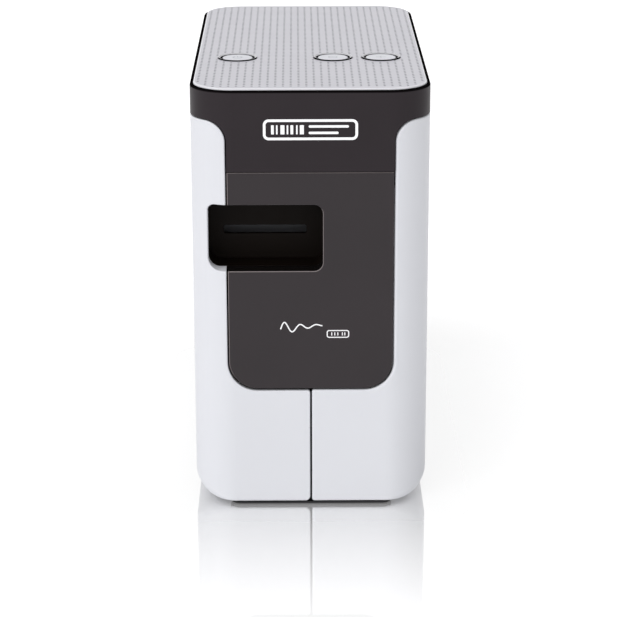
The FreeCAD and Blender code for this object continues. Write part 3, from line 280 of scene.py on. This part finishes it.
def rubber(name, colour, roughness=0.75):
    material, tree, shader = new_material(name)
    speckle = noise(tree, 0.5 * MM, detail=6.0)
    spots = blend_colours(tree, remap(tree, speckle, 0.0, 1.0), shade(colour, 0.75), shade(colour, 1.5))
    tree.links.new(spots, shader.inputs["Base Color"])
    sheen = remap(tree, noise(tree, 3 * MM), roughness - 0.08, roughness + 0.08)
    tree.links.new(sheen, shader.inputs["Roughness"])
    shader.inputs["Specular IOR Level"].default_value = 0.3
    bump(tree, shader, speckle, 0.03 * MM, 0.5)
    return material


# ---------------------------------------------------------------- material of each slot
def normal_axis(tree, axis):
    """One component of the surface normal."""
    geometry = tree.nodes.new("ShaderNodeNewGeometry")
    split = tree.nodes.new("ShaderNodeSeparateXYZ")
    tree.links.new(geometry.outputs["Normal"], split.inputs["Vector"])
    return split.outputs[axis]


def bezel_material():
    """Bright plated top face; walls painted matt black by their facing, partly a black ring and partly
    painted shade of the gap round it.
    """
    material, tree, shader = new_material("bezel_silver")
    # Painted shade, partly: faces that do not look up get near-black, standing in for the gap round the
    # ring as well as the ring's own dark side.
    facing = remap(tree, normal_axis(tree, "Z"), 0.0, 1.0, 0.75, 0.9)
    spun = noise(tree, 0.4 * MM, detail=3.0)
    plated = blend_colours(tree, remap(tree, spun, 0.0, 1.0), srgb(214, 214, 219), srgb(238, 238, 242))
    tree.links.new(blend_colours(tree, facing, srgb(6, 6, 8), plated), shader.inputs["Base Color"])
    tree.links.new(remap(tree, facing, 0.5, 0.3, 0.0, 1.0), shader.inputs["Roughness"])
    tree.links.new(remap(tree, facing, 0.0, 0.5, 0.0, 1.0), shader.inputs["Specular IOR Level"])
    bump(tree, shader, spun, 0.004 * MM, 0.3)
    return material


def recoloured(material, factor, colour):
    """Covers a material's own colour with another one where factor is 0."""
    tree = material.node_tree
    base = tree.nodes["Principled BSDF"].inputs["Base Color"]
    tree.links.new(blend_colours(tree, factor, colour, base.links[0].from_socket), base)


def cap_material():
    """Dark cap: grained walls, and a rounded edge where it meets the plate painted matt black, as painted
    shade of the groove there.
    """
    material = moulded("cap_grey", srgb(44, 39, 42), 0.42, grain=0.28 * MM, depth=0.012 * MM,
                       gloss=0.1, mottle=0.04)
    tree = material.node_tree
    # Painted shade: faces that tilt up or down from upright, the rounded edge by the plate, get near-black
    # and almost no sheen.
    wall = remap(tree, calculate(tree, "ABSOLUTE", normal_axis(tree, "Z")), 1.0, 0.0, 0.03, 0.3)
    recoloured(material, wall, srgb(12, 10, 11))
    tree.links.new(remap(tree, wall, 0.0, 0.1, 0.0, 1.0),
                   tree.nodes["Principled BSDF"].inputs["Specular IOR Level"])
    return material


def button_material():
    """Pearl white key top; sides painted near-black by their facing, partly a black body and partly
    painted shade of the gap round the key.
    """
    material = moulded("button_white", srgb(198, 199, 206), 0.3, gloss=0.3, mottle=0.004)
    # Painted shade, partly: faces that do not look up get near-black, standing in for the gap round the
    # key as well as its dark body.
    top = remap(material.node_tree, normal_axis(material.node_tree, "Z"), 0.0, 1.0, 0.55, 0.7)
    recoloured(material, top, srgb(6, 6, 8))
    material.node_tree.links.new(remap(material.node_tree, top, 0.0, 0.3, 0.0, 1.0),
                                 material.node_tree.nodes["Principled BSDF"].inputs["Specular IOR Level"])
    return material


def panel_material():
    """Dark front and rear panels: fine grain, a painted highlight on rims that face up or to the left, and
    painted shade making the walls of openings black.
    """
    material = moulded("panel_grey", srgb(38, 32, 35), 0.32, grain=0.28 * MM, depth=0.012 * MM,
                       gloss=0.3, mottle=0.06)
    tree = material.node_tree
    shader = tree.nodes["Principled BSDF"]
    face = shader.inputs["Base Color"].links[0].from_socket
    geometry = tree.nodes.new("ShaderNodeNewGeometry")
    split = tree.nodes.new("ShaderNodeSeparateXYZ")
    tree.links.new(geometry.outputs["Normal"], split.inputs["Vector"])
    outward = calculate(tree, "ABSOLUTE", split.outputs["Y"])
    towards_light = calculate(tree, "SUBTRACT", split.outputs["Z"], split.outputs["X"])
    # Painted highlight: rounded rims that face up or to the left are lightened to pale grey.
    rim = calculate(tree, "MULTIPLY", remap(tree, outward, 1.0, 0.0, 0.85, 0.97),
                    remap(tree, towards_light, 0.0, 1.0, 0.1, 0.4))
    lit = blend_colours(tree, rim, face, srgb(120, 112, 112))
    # Painted shade: faces turned away from the front, the walls and ledges of openings such as the window,
    # are painted near-black.
    wall = remap(tree, outward, 1.0, 0.0, 0.1, 0.3)
    tree.links.new(blend_colours(tree, wall, lit, srgb(8, 6, 6)), shader.inputs["Base Color"])
    return material


def reel_material():
    """Wound tape: fine rings on its end faces, smooth round its rim."""
    material, tree, shader = new_material("tape_white")
    low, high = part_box("tape_reel")
    middle = (low + high) / 2
    coordinates = tree.nodes.new("ShaderNodeTexCoord")
    offset = tree.nodes.new("ShaderNodeVectorMath")
    offset.operation = "SUBTRACT"
    offset.inputs[1].default_value = (0.0, middle.y, middle.z)
    flatten = tree.nodes.new("ShaderNodeVectorMath")
    flatten.operation = "MULTIPLY"
    flatten.inputs[1].default_value = (0.0, 1.0, 1.0)
    reach = tree.nodes.new("ShaderNodeVectorMath")
    reach.operation = "LENGTH"
    turns = tree.nodes.new("ShaderNodeMath")
    turns.operation = "PINGPONG"
    turns.inputs[1].default_value = 0.2 * MM
    tree.links.new(coordinates.outputs["Object"], offset.inputs[0])
    tree.links.new(offset.outputs[0], flatten.inputs[0])
    tree.links.new(flatten.outputs[0], reach.inputs[0])
    tree.links.new(reach.outputs["Value"], turns.inputs[0])
    edge = remap(tree, turns.outputs[0], 0.0, 1.0, 0.0, 0.2 * MM)
    tree.links.new(blend_colours(tree, edge, srgb(196, 196, 190), srgb(238, 238, 234)),
                   shader.inputs["Base Color"])
    shader.inputs["Roughness"].default_value = 0.32
    bump(tree, shader, edge, 0.03 * MM, 0.5)
    return material


CELL_SPACING = 50.1 * MM           # from one end of a cell to the other, with the gap
BAND_START = 35.0 * MM


def cell_material():
    """Printed jacket of a round cell: dark body with a coloured band at one end of each cell."""
    material, tree, shader = new_material("cell_jacket")
    coordinates = tree.nodes.new("ShaderNodeTexCoord")
    split = tree.nodes.new("ShaderNodeSeparateXYZ")
    fold = tree.nodes.new("ShaderNodeMath")
    fold.operation = "PINGPONG"
    fold.inputs[1].default_value = CELL_SPACING
    tree.links.new(coordinates.outputs["Object"], split.inputs["Vector"])
    tree.links.new(split.outputs["Y"], fold.inputs[0])
    band = remap(tree, fold.outputs[0], 0.0, 1.0, BAND_START, BAND_START + 0.2 * MM)
    tree.links.new(blend_colours(tree, band, srgb(38, 40, 46), srgb(186, 128, 44)),
                   shader.inputs["Base Color"])
    shader.inputs["Metallic"].default_value = 0.35
    tree.links.new(remap(tree, noise(tree, 2 * MM), 0.24, 0.34), shader.inputs["Roughness"])
    return material


BOARD_FACE = 61.65 * MM            # Y beyond which something stands off the main board


def board_material():
    """Green solder mask with lighter copper runs; what stands off the board is black."""
    material, tree, shader = new_material("board_green")
    bricks = tree.nodes.new("ShaderNodeTexBrick")
    bricks.inputs["Scale"].default_value = 1 / (9 * MM)
    bricks.inputs["Mortar Size"].default_value = 0.035
    bricks.inputs["Color1"].default_value = srgb(16, 84, 46)
    bricks.inputs["Color2"].default_value = srgb(20, 92, 50)
    bricks.inputs["Mortar"].default_value = srgb(52, 132, 78)
    turned = tree.nodes.new("ShaderNodeMapping")
    turned.inputs["Rotation"].default_value = (math.radians(90), 0.0, 0.0)
    tree.links.new(place_input(tree), turned.inputs["Vector"])
    tree.links.new(turned.outputs["Vector"], bricks.inputs["Vector"])
    split = tree.nodes.new("ShaderNodeSeparateXYZ")
    tree.links.new(place_input(tree), split.inputs["Vector"])
    raised = remap(tree, split.outputs["Y"], 0.0, 1.0, BOARD_FACE, BOARD_FACE + 0.05 * MM)
    tree.links.new(blend_colours(tree, raised, bricks.outputs["Color"], srgb(26, 26, 28)),
                   shader.inputs["Base Color"])
    tree.links.new(remap(tree, noise(tree, 4 * MM), 0.3, 0.42), shader.inputs["Roughness"])
    bump(tree, shader, bricks.outputs["Fac"], 0.02 * MM, 0.4)
    return material


def print_material(name, colour):
    """Screen-printed ink, thick enough to catch a soft edge."""
    material, tree, shader = new_material(name)
    weave = noise(tree, 0.12 * MM, detail=2.0)
    tree.links.new(blend_colours(tree, remap(tree, weave, 0.0, 1.0), shade(colour, 0.97), colour),
                   shader.inputs["Base Color"])
    shader.inputs["Roughness"].default_value = 0.5
    bump(tree, shader, weave, 0.004 * MM, 0.3)
    return material


SPECIAL = {
    "front_panel": panel_material(),
    "rear_panel": panel_material(),
    # Painted shade: the cutter frame, seen deep inside the slit behind the window, is painted near-black
    # in place of its own finish.
    "cutter_frame": moulded("cutter_painted_shade", srgb(12, 10, 9), 0.6, gloss=0.05, mottle=0.3),
}
# Painted highlight: a lighter grey for the plate's rounded edge, where it would catch the overhead light.
RIM_PAINTED_HIGHLIGHT = moulded("rim_painted_highlight", srgb(210, 210, 215), 0.3, gloss=0.4, mottle=0.01)
# Painted shade: a darker grey inside the dimples.
PIT_PAINTED_SHADE = moulded("pit_painted_shade", srgb(96, 96, 104), 0.6, gloss=0.2, mottle=0.05)
MATERIALS = {
    "shell_white": moulded("shell_white", srgb(209, 210, 215), 0.4, gloss=0.2, mottle=0.006),
    "cap_grey": cap_material(),
    "plate_silver": moulded("plate_silver", srgb(186, 185, 192), 0.4, gloss=0.4, mottle=0.01),
    "button_white": button_material(),
    "bezel_silver": bezel_material(),
    "ring_smoke": moulded("ring_smoke", srgb(8, 8, 11), 0.3, depth=0.003 * MM, gloss=0.02, mottle=0.1),
    "base_black": moulded("base_black", srgb(22, 22, 24), 0.5, grain=0.5 * MM, depth=0.03 * MM,
                          gloss=0.3, mottle=0.08),
    # Partly the chute's own black plastic, partly painted shade: darkened to near-black with a brown tint
    # for the deep window interior.
    "chute_black": moulded("chute_black", srgb(12, 6, 3), 0.55, grain=0.4 * MM, depth=0.02 * MM,
                           gloss=0.1, mottle=0.1),
    "rubber_foot": rubber("rubber_foot", srgb(24, 24, 25)),
    "cell_jacket": cell_material(),
    "spring_steel": metal("spring_steel", srgb(190, 190, 188), 0.25),
    "steel": metal("steel", srgb(188, 188, 190), 0.22, (0.05, 1.0, 1.0)),
    "sheet_steel": metal("sheet_steel", srgb(172, 175, 178), 0.34, (1.0, 1.0, 0.1), 0.6 * MM),
    "blade_steel": metal("blade_steel", srgb(92, 93, 96), 0.5, (0.08, 1.0, 1.0)),
    "motor_can": metal("motor_can", srgb(160, 162, 166), 0.32, (0.1, 1.0, 1.0), 0.5 * MM),
    "screw_black": metal("screw_black", srgb(34, 34, 36), 0.4),
    "brass": metal("brass", srgb(206, 170, 92), 0.28),
    "board_green": board_material(),
    "switch_black": moulded("switch_black", srgb(20, 20, 21), 0.4, gloss=0.4, mottle=0.05),
    "chassis_grey": moulded("chassis_grey", srgb(74, 75, 78), 0.5, grain=0.5 * MM, depth=0.02 * MM,
                            gloss=0.35),
    "heatsink": metal("heatsink", srgb(196, 197, 200), 0.36, (0.1, 1.0, 1.0), 0.4 * MM),
    "head_ceramic": moulded("head_ceramic", srgb(222, 216, 196), 0.18, depth=0.004 * MM,
                            mottle=0.02, coat=0.5),
    "holder_blue": moulded("holder_blue", srgb(46, 50, 60), 0.42, gloss=0.4),
    "roller_rubber": rubber("roller_rubber", srgb(30, 30, 31), 0.62),
    "gear_white": moulded("gear_white", srgb(228, 225, 212), 0.38, gloss=0.45, mottle=0.02),
    "gear_black": moulded("gear_black", srgb(28, 28, 29), 0.38, gloss=0.45, mottle=0.04),
    "ribbon_black": moulded("ribbon_black", srgb(16, 16, 19), 0.2, depth=0.004 * MM, gloss=0.5,
                            mottle=0.05),
    "tape_white": reel_material(),
    "cassette_grey": moulded("cassette_grey", srgb(118, 122, 128), 0.4, grain=0.4 * MM, gloss=0.4,
                             mottle=0.02),
    "connector_metal": metal("connector_metal", srgb(200, 200, 200), 0.2, (1.0, 0.1, 1.0)),
}


def dress_cad_nodes():
    for entry in frame["record"]["subparts"]:
        mesh = NODES[entry["node"]].data
        mesh.materials.clear()
        mesh.materials.append(SPECIAL.get(entry["node"], MATERIALS[entry["material_slot"]]))


# ---------------------------------------------------------------- mesh helpers
def rounded_rectangle(low, high, radius, steps=10):
    """Points round a rectangle with rounded corners, anticlockwise from the lower right."""
    points = []
    centres = [(high[0] - radius, low[1] + radius), (high[0] - radius, high[1] - radius),
               (low[0] + radius, high[1] - radius), (low[0] + radius, low[1] + radius)]
    for quarter, (x, y) in enumerate(centres):
        for step in range(steps + 1):
            angle = math.pi / 2 * (quarter - 1 + step / steps)
            points.append((x + radius * math.cos(angle), y + radius * math.sin(angle)))
    return points


def circle(centre, radius, count=48):
    return [(centre[0] + radius * math.cos(2 * math.pi * i / count),
             centre[1] + radius * math.sin(2 * math.pi * i / count)) for i in range(count)]


def inside(point, loop):
    """True if a 2D point is inside a closed loop."""
    x, y = point
    odd = False
    for (x0, y0), (x1, y1) in zip(loop, loop[1:] + loop[:1]):
        if (y0 > y) != (y1 > y) and x < (x1 - x0) * (y - y0) / (y1 - y0) + x0:
            odd = not odd
    return odd


def meshed(loops):
    """Triangles between closed 2D loops: points, faces, and where each given point went."""
    points, edges = [], []
    for loop in loops:
        first = len(points)
        points += [Vector(p) for p in loop]
        edges += [(first + i, first + (i + 1) % len(loop)) for i in range(len(loop))]
    found = delaunay_2d_cdt(points, edges, [], 0, 1e-6)
    place = {original: index for index, group in enumerate(found[3]) for original in group}
    return [(v.x, v.y) for v in found[0]], [list(face) for face in found[2]], place


def middle_of(vertices, face):
    return (sum(vertices[i][0] for i in face) / len(face), sum(vertices[i][1] for i in face) / len(face))


def triangulated(loops):
    """Points and triangles of the area between nested loops: odd depth is solid."""
    vertices, faces, place = meshed(loops)
    return vertices, [f for f in faces if sum(inside(middle_of(vertices, f), loop) for loop in loops) % 2]


def piece(name, vertices, faces, material, smooth=None):
    mesh = bpy.data.meshes.new(name)
    mesh.from_pydata(vertices, [], faces)
    mesh.materials.append(material)
    if smooth is not None:
        mesh.polygons.foreach_set("use_smooth", smooth)
    mesh.validate()
    made = bpy.data.objects.new(name, mesh)
    bpy.context.scene.collection.objects.link(made)
    return made


INK_GAP, INK_TOP = 0.01, 0.03      # millimetres from the face to the ink's underside and top


def printed(name, shapes, origin, right, up, out, material, body="housing"):
    """Ink shapes, each a list of nested loops in millimetres, laid on a flat face and riding on a body."""
    vertices, faces = [], []
    for loops in shapes:
        flat, tris = triangulated(loops)
        first, count = len(vertices), len(flat)
        for lift in (INK_GAP, INK_TOP):
            for x, y in flat:
                offset = Vector(right) * x + Vector(up) * y + Vector(out) * lift
                vertices.append(Vector(origin) + offset * MM)
        borders = {}
        for tri in tris:
            faces.append([first + count + i for i in tri])
            faces.append([first + i for i in reversed(tri)])
            for a, b in zip(tri, tri[1:] + tri[:1]):
                borders[(a, b)] = borders.get((a, b), 0) + 1
        for a, b in borders:
            if (b, a) not in borders:
                faces.append([first + a, first + b, first + count + b, first + count + a])
    made = piece(name, vertices, faces, material)
    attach(made, body)
    return made


def stroke(points, width):
    """A closed loop round a polyline, with round ends."""
    left, right = [], []
    for i, (x, y) in enumerate(points):
        x0, y0 = points[max(i - 1, 0)]
        x1, y1 = points[min(i + 1, len(points) - 1)]
        length = math.hypot(x1 - x0, y1 - y0)
        nx, ny = -(y1 - y0) / length * width / 2, (x1 - x0) / length * width / 2
        left.append((x + nx, y + ny))
        right.append((x - nx, y - ny))

    def cap(centre, start):
        angle = math.atan2(start[1] - centre[1], start[0] - centre[0])
        return [(centre[0] + width / 2 * math.cos(angle - math.pi * k / 8),
                 centre[1] + width / 2 * math.sin(angle - math.pi * k / 8)) for k in range(1, 8)]
    return left + cap(points[-1], left[-1]) + right[::-1] + cap(points[0], right[0])


# ---------------------------------------------------------------- patterned top plate
PLATE_RADIUS = 12.85
PLATE_EDGE = 0.5
DIMPLE_PITCH = 2.5
DIMPLE_RADIUS = 0.42
DIMPLE_RINGS = ((0.32, 0.26), (0.14, 0.36))     # radius, depth
DIMPLE_SIDES = 12
BUTTON_HOLE = 6.85
BUTTONS = ("power_button", "app_button", "feed_cut_button")


def button_centre(name):
    low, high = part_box(name)
    return ((low.x + high.x) / 2 / MM, (low.y + high.y) / 2 / MM)


def dimple_centres(half_x, half_y):
    """Grid points that leave a whole dimple clear of the plate's edge and of the buttons."""
    columns, rows = 2 * int(half_x / DIMPLE_PITCH), 2 * int(half_y / DIMPLE_PITCH)
    margin = PLATE_EDGE + DIMPLE_RADIUS + 0.25
    reach = PLATE_RADIUS - margin
    holes = [button_centre(name) for name in BUTTONS]
    for i in range(columns):
        for j in range(rows):
            x, y = (i - (columns - 1) / 2) * DIMPLE_PITCH, (j - (rows - 1) / 2) * DIMPLE_PITCH
            over = (abs(x) - (half_x - PLATE_RADIUS), abs(y) - (half_y - PLATE_RADIUS))
            if over[0] > 0 and over[1] > 0 and math.hypot(*over) > reach:
                continue
            if max(abs(x) - (half_x - margin), abs(y) - (half_y - margin)) > 0:
                continue
            if all(math.hypot(x - a, y - b) > BUTTON_HOLE + DIMPLE_RADIUS + 0.2 for a, b in holes):
                yield (x, y)


def nearest_node(value):
    """Odd number of half pitches nearest to a coordinate, where the grid has its dimples."""
    return 2 * math.floor(value / DIMPLE_PITCH) + 1


RIM_STEPS = 16            # points on each corner of the plate's outline
HOLE_SIDES = 64
EDGE_STEPS = 4            # facets of the rounded edge
PIT, RIM = 1, 2           # material numbers on the plate: PIT for the painted shade in the dimples, RIM for the painted highlight on the edge


class PlateMesh:
    """Points and faces of the plate in millimetres, with each face's shading and material number."""

    def __init__(self):
        self.vertices, self.faces, self.smooth, self.numbers = [], [], [], []

    def add_face(self, corners, soft=False, number=0):
        self.faces.append(corners)
        self.smooth.append(soft)
        self.numbers.append(number)

    def add_ring(self, upper, ring_points, number=0):
        """Joins a ring of vertex numbers to a new ring of points below it."""
        first, count = len(self.vertices), len(ring_points)
        self.vertices.extend(ring_points)
        lower = list(range(first, first + count))
        for i in range(count):
            j = (i + 1) % count
            self.add_face([upper[i], lower[i], lower[j], upper[j]], True, number)
        return lower


def plate_outline(half, out):
    """The plate's outline, moved inwards by out."""
    x, y = half[0] - out, half[1] - out
    return rounded_rectangle((-x, -y), (x, y), PLATE_RADIUS - out, RIM_STEPS)


def add_plate_face(mesh, flat, tris, centres, middles):
    """Triangles of the top face, left open over the button holes and the dimples."""
    taken = {(round(x / DIMPLE_PITCH * 2), round(y / DIMPLE_PITCH * 2)) for x, y in centres}
    inner_reach = DIMPLE_RADIUS * math.cos(math.pi / DIMPLE_SIDES) * 0.999
    for face in tris:
        x, y = middle_of(flat, face)
        if any(math.hypot(x - a, y - b) < BUTTON_HOLE * 0.998 for a, b in middles):
            continue
        cell = (nearest_node(x), nearest_node(y))
        centre = (cell[0] * DIMPLE_PITCH / 2, cell[1] * DIMPLE_PITCH / 2)
        if cell in taken and math.hypot(x - centre[0], y - centre[1]) < inner_reach:
            continue
        mesh.add_face(face)


def add_dimple(mesh, centre, upper, top):
    # Faces of the pit take number PIT, the painted shade material.
    for radius, depth in DIMPLE_RINGS:
        ring = [(a, b, top - depth) for a, b in circle(centre, radius, DIMPLE_SIDES)][::-1]
        upper = mesh.add_ring(upper, ring, PIT)
    mesh.add_face(upper[::-1], True, PIT)


def add_plate_edge(mesh, half, upper, top, bottom):
    """Rounded edge and upright wall, both in the painted highlight material; gives back the lowest ring.
    """
    for step in range(1, EDGE_STEPS + 1):
        angle = math.pi / 2 * step / EDGE_STEPS
        out = PLATE_EDGE * (1 - math.sin(angle))
        drop = PLATE_EDGE * (1 - math.cos(angle))
        upper = mesh.add_ring(upper, [(a, b, top - drop) for a, b in plate_outline(half, out)], RIM)
    return mesh.add_ring(upper, [(a, b, bottom) for a, b in plate_outline(half, 0)], RIM)


def add_underside(mesh, half, middles, lowest):
    """Flat bottom face between the outer wall and the button holes."""
    loops = [plate_outline(half, 0)] + [circle(c, BUTTON_HOLE, HOLE_SIDES) for c in middles]
    flat, tris, place = meshed(loops)
    number = {place[i]: own for i, own in enumerate(lowest)}
    for tri in tris:
        if sum(inside(middle_of(flat, tri), loop) for loop in loops) % 2:
            mesh.add_face([number[i] for i in reversed(tri)])


def make_top_plate():
    """Plate with a softened edge, three button holes and a grid of round dimples."""
    low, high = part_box("top_plate")
    half = (high.x / MM, high.y / MM)
    top, bottom = high.z / MM, low.z / MM
    centres = list(dimple_centres(*half))
    middles = [button_centre(name) for name in BUTTONS]
    rim = plate_outline(half, PLATE_EDGE)
    holes = [circle(c, BUTTON_HOLE, HOLE_SIDES) for c in middles]
    flat, tris, place = meshed([rim] + holes + [circle(c, DIMPLE_RADIUS, DIMPLE_SIDES) for c in centres])
    mesh = PlateMesh()
    mesh.vertices = [(x, y, top) for x, y in flat]
    add_plate_face(mesh, flat, tris, centres, middles)

    start = len(rim)
    hole_bottoms = []
    for hole in holes:
        upper = [place[start + i] for i in range(HOLE_SIDES)][::-1]
        start += HOLE_SIDES
        ring = [(x, y, bottom) for x, y in hole][::-1]
        hole_bottoms += mesh.add_ring(upper, ring)[::-1]
    for centre in centres:
        add_dimple(mesh, centre, [place[start + i] for i in range(DIMPLE_SIDES)][::-1], top)
        start += DIMPLE_SIDES
    outer = add_plate_edge(mesh, half, [place[i] for i in range(len(rim))], top, bottom)
    add_underside(mesh, half, middles, outer + hole_bottoms)

    points = [Vector(v) * MM for v in mesh.vertices]
    plate = piece("patterned_plate", points, mesh.faces, MATERIALS["plate_silver"], mesh.smooth)
    # Second and third materials: painted shade in the dimples and painted highlight on the rounded edge.
    plate.data.materials.append(PIT_PAINTED_SHADE)
    plate.data.materials.append(RIM_PAINTED_HIGHLIGHT)
    plate.data.polygons.foreach_set("material_index", mesh.numbers)
    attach(plate, "housing")
    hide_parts("top_plate")


def make_holder_spring():
    """Coil over the roller holder, copied into its own mesh and attached to the housing."""
    frame_coil = NODES["holder_spring"]
    coil = bpy.data.objects.new("closing_coil", frame_coil.data.copy())
    bpy.context.scene.collection.objects.link(coil)
    coil.matrix_world = frame_coil.matrix_world
    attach(coil, "housing")
    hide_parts("holder_spring")
    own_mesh(coil)


# ---------------------------------------------------------------- printed marks
def label_mark():
    """Generic pictogram of a printed label on the cap's apron: a strip with bars and two lines."""
    width, height, line = 30.4, 6.8, 0.85
    frame_loops = [rounded_rectangle((-width / 2, 0), (width / 2, height), 1.8, 8),
                   rounded_rectangle((-width / 2 + line, line), (width / 2 - line, height - line), 1.0, 8)]
    shapes = [frame_loops]
    x = -width / 2 + 2.6
    for bar, gap in ((0.9, 0.7), (0.5, 0.9), (1.3, 0.7), (0.5, 0.7), (0.9, 0.9), (0.5, 0.7), (1.3, 0.0)):
        shapes.append([rounded_rectangle((x, 1.9), (x + bar, height - 1.9), 0.12, 3)])
        x += bar + gap
    for low, end in ((1.95, 9.0), (4.05, 12.3)):
        shapes.append([rounded_rectangle((-0.6, low), (end, low + 0.8), 0.4, 6)])
    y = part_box("top_cap")[0].y
    printed("label_mark", shapes, (0.0, y, 126.0 * MM), (1, 0, 0), (0, 0, 1), (0, -1, 0),
            print_material("ink_white", srgb(246, 246, 248)))


def tape_mark():
    """Fine generic pictogram on the front panel: a curling tape end over a small label outline."""
    curl = []
    for step in range(49):
        t = step / 48
        wave = 2.6 * math.exp(-2.2 * t) * math.sin(5.2 * math.pi * t)
        curl.append((-9.9 + 13.5 * t, 3.4 + wave + 1.2 * t))
    outline = [rounded_rectangle((5.2, 0.2), (12.6, 2.9), 0.8, 6),
               rounded_rectangle((5.55, 0.55), (12.25, 2.55), 0.5, 6)]
    shapes = [[stroke(curl, 0.42)], outline]
    for x in (6.7, 7.7, 8.7, 10.2, 11.0):
        shapes.append([rounded_rectangle((x, 1.0), (x + 0.32, 2.1), 0.1, 2)])
    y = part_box("front_panel")[0].y
    printed("tape_mark", shapes, (0.0, y, 59.0 * MM), (1, 0, 0), (0, 0, 1), (0, -1, 0),
            print_material("ink_fine", srgb(240, 240, 242)))


def button_marks():
    """Faint generic signs on the three buttons: power, a small outline and a broken cross."""
    ink = print_material("ink_grey", srgb(170, 173, 180))
    arc = [(1.5 * math.cos(math.radians(a)), 1.5 * math.sin(math.radians(a))) for a in range(125, 416, 10)]
    signs = {
        "power_button": [[stroke(arc, 0.32)], [stroke([(0.0, 0.4), (0.0, 1.9)], 0.32)]],
        "app_button": [[rounded_rectangle((-1.5, -1.2), (1.5, 1.2), 0.4, 5),
                        rounded_rectangle((-1.2, -0.9), (1.2, 0.9), 0.2, 5)]],
        "feed_cut_button": [[stroke([(-1.6, 0.0), (-0.4, 0.0)], 0.32)],
                            [stroke([(0.4, 0.0), (1.6, 0.0)], 0.32)],
                            [stroke([(0.0, -1.4), (0.0, 1.4)], 0.32)]],
    }
    for name, shapes in signs.items():
        x, y = button_centre(name)
        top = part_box(name)[1].z
        printed(name + "_sign", shapes, (x * MM, y * MM, top), (1, 0, 0), (0, 1, 0), (0, 0, 1), ink,
                body=name)


add_camera()
add_studio()
add_floor()
dress_cad_nodes()
make_top_plate()
make_holder_spring()
label_mark()
tape_mark()
button_marks()
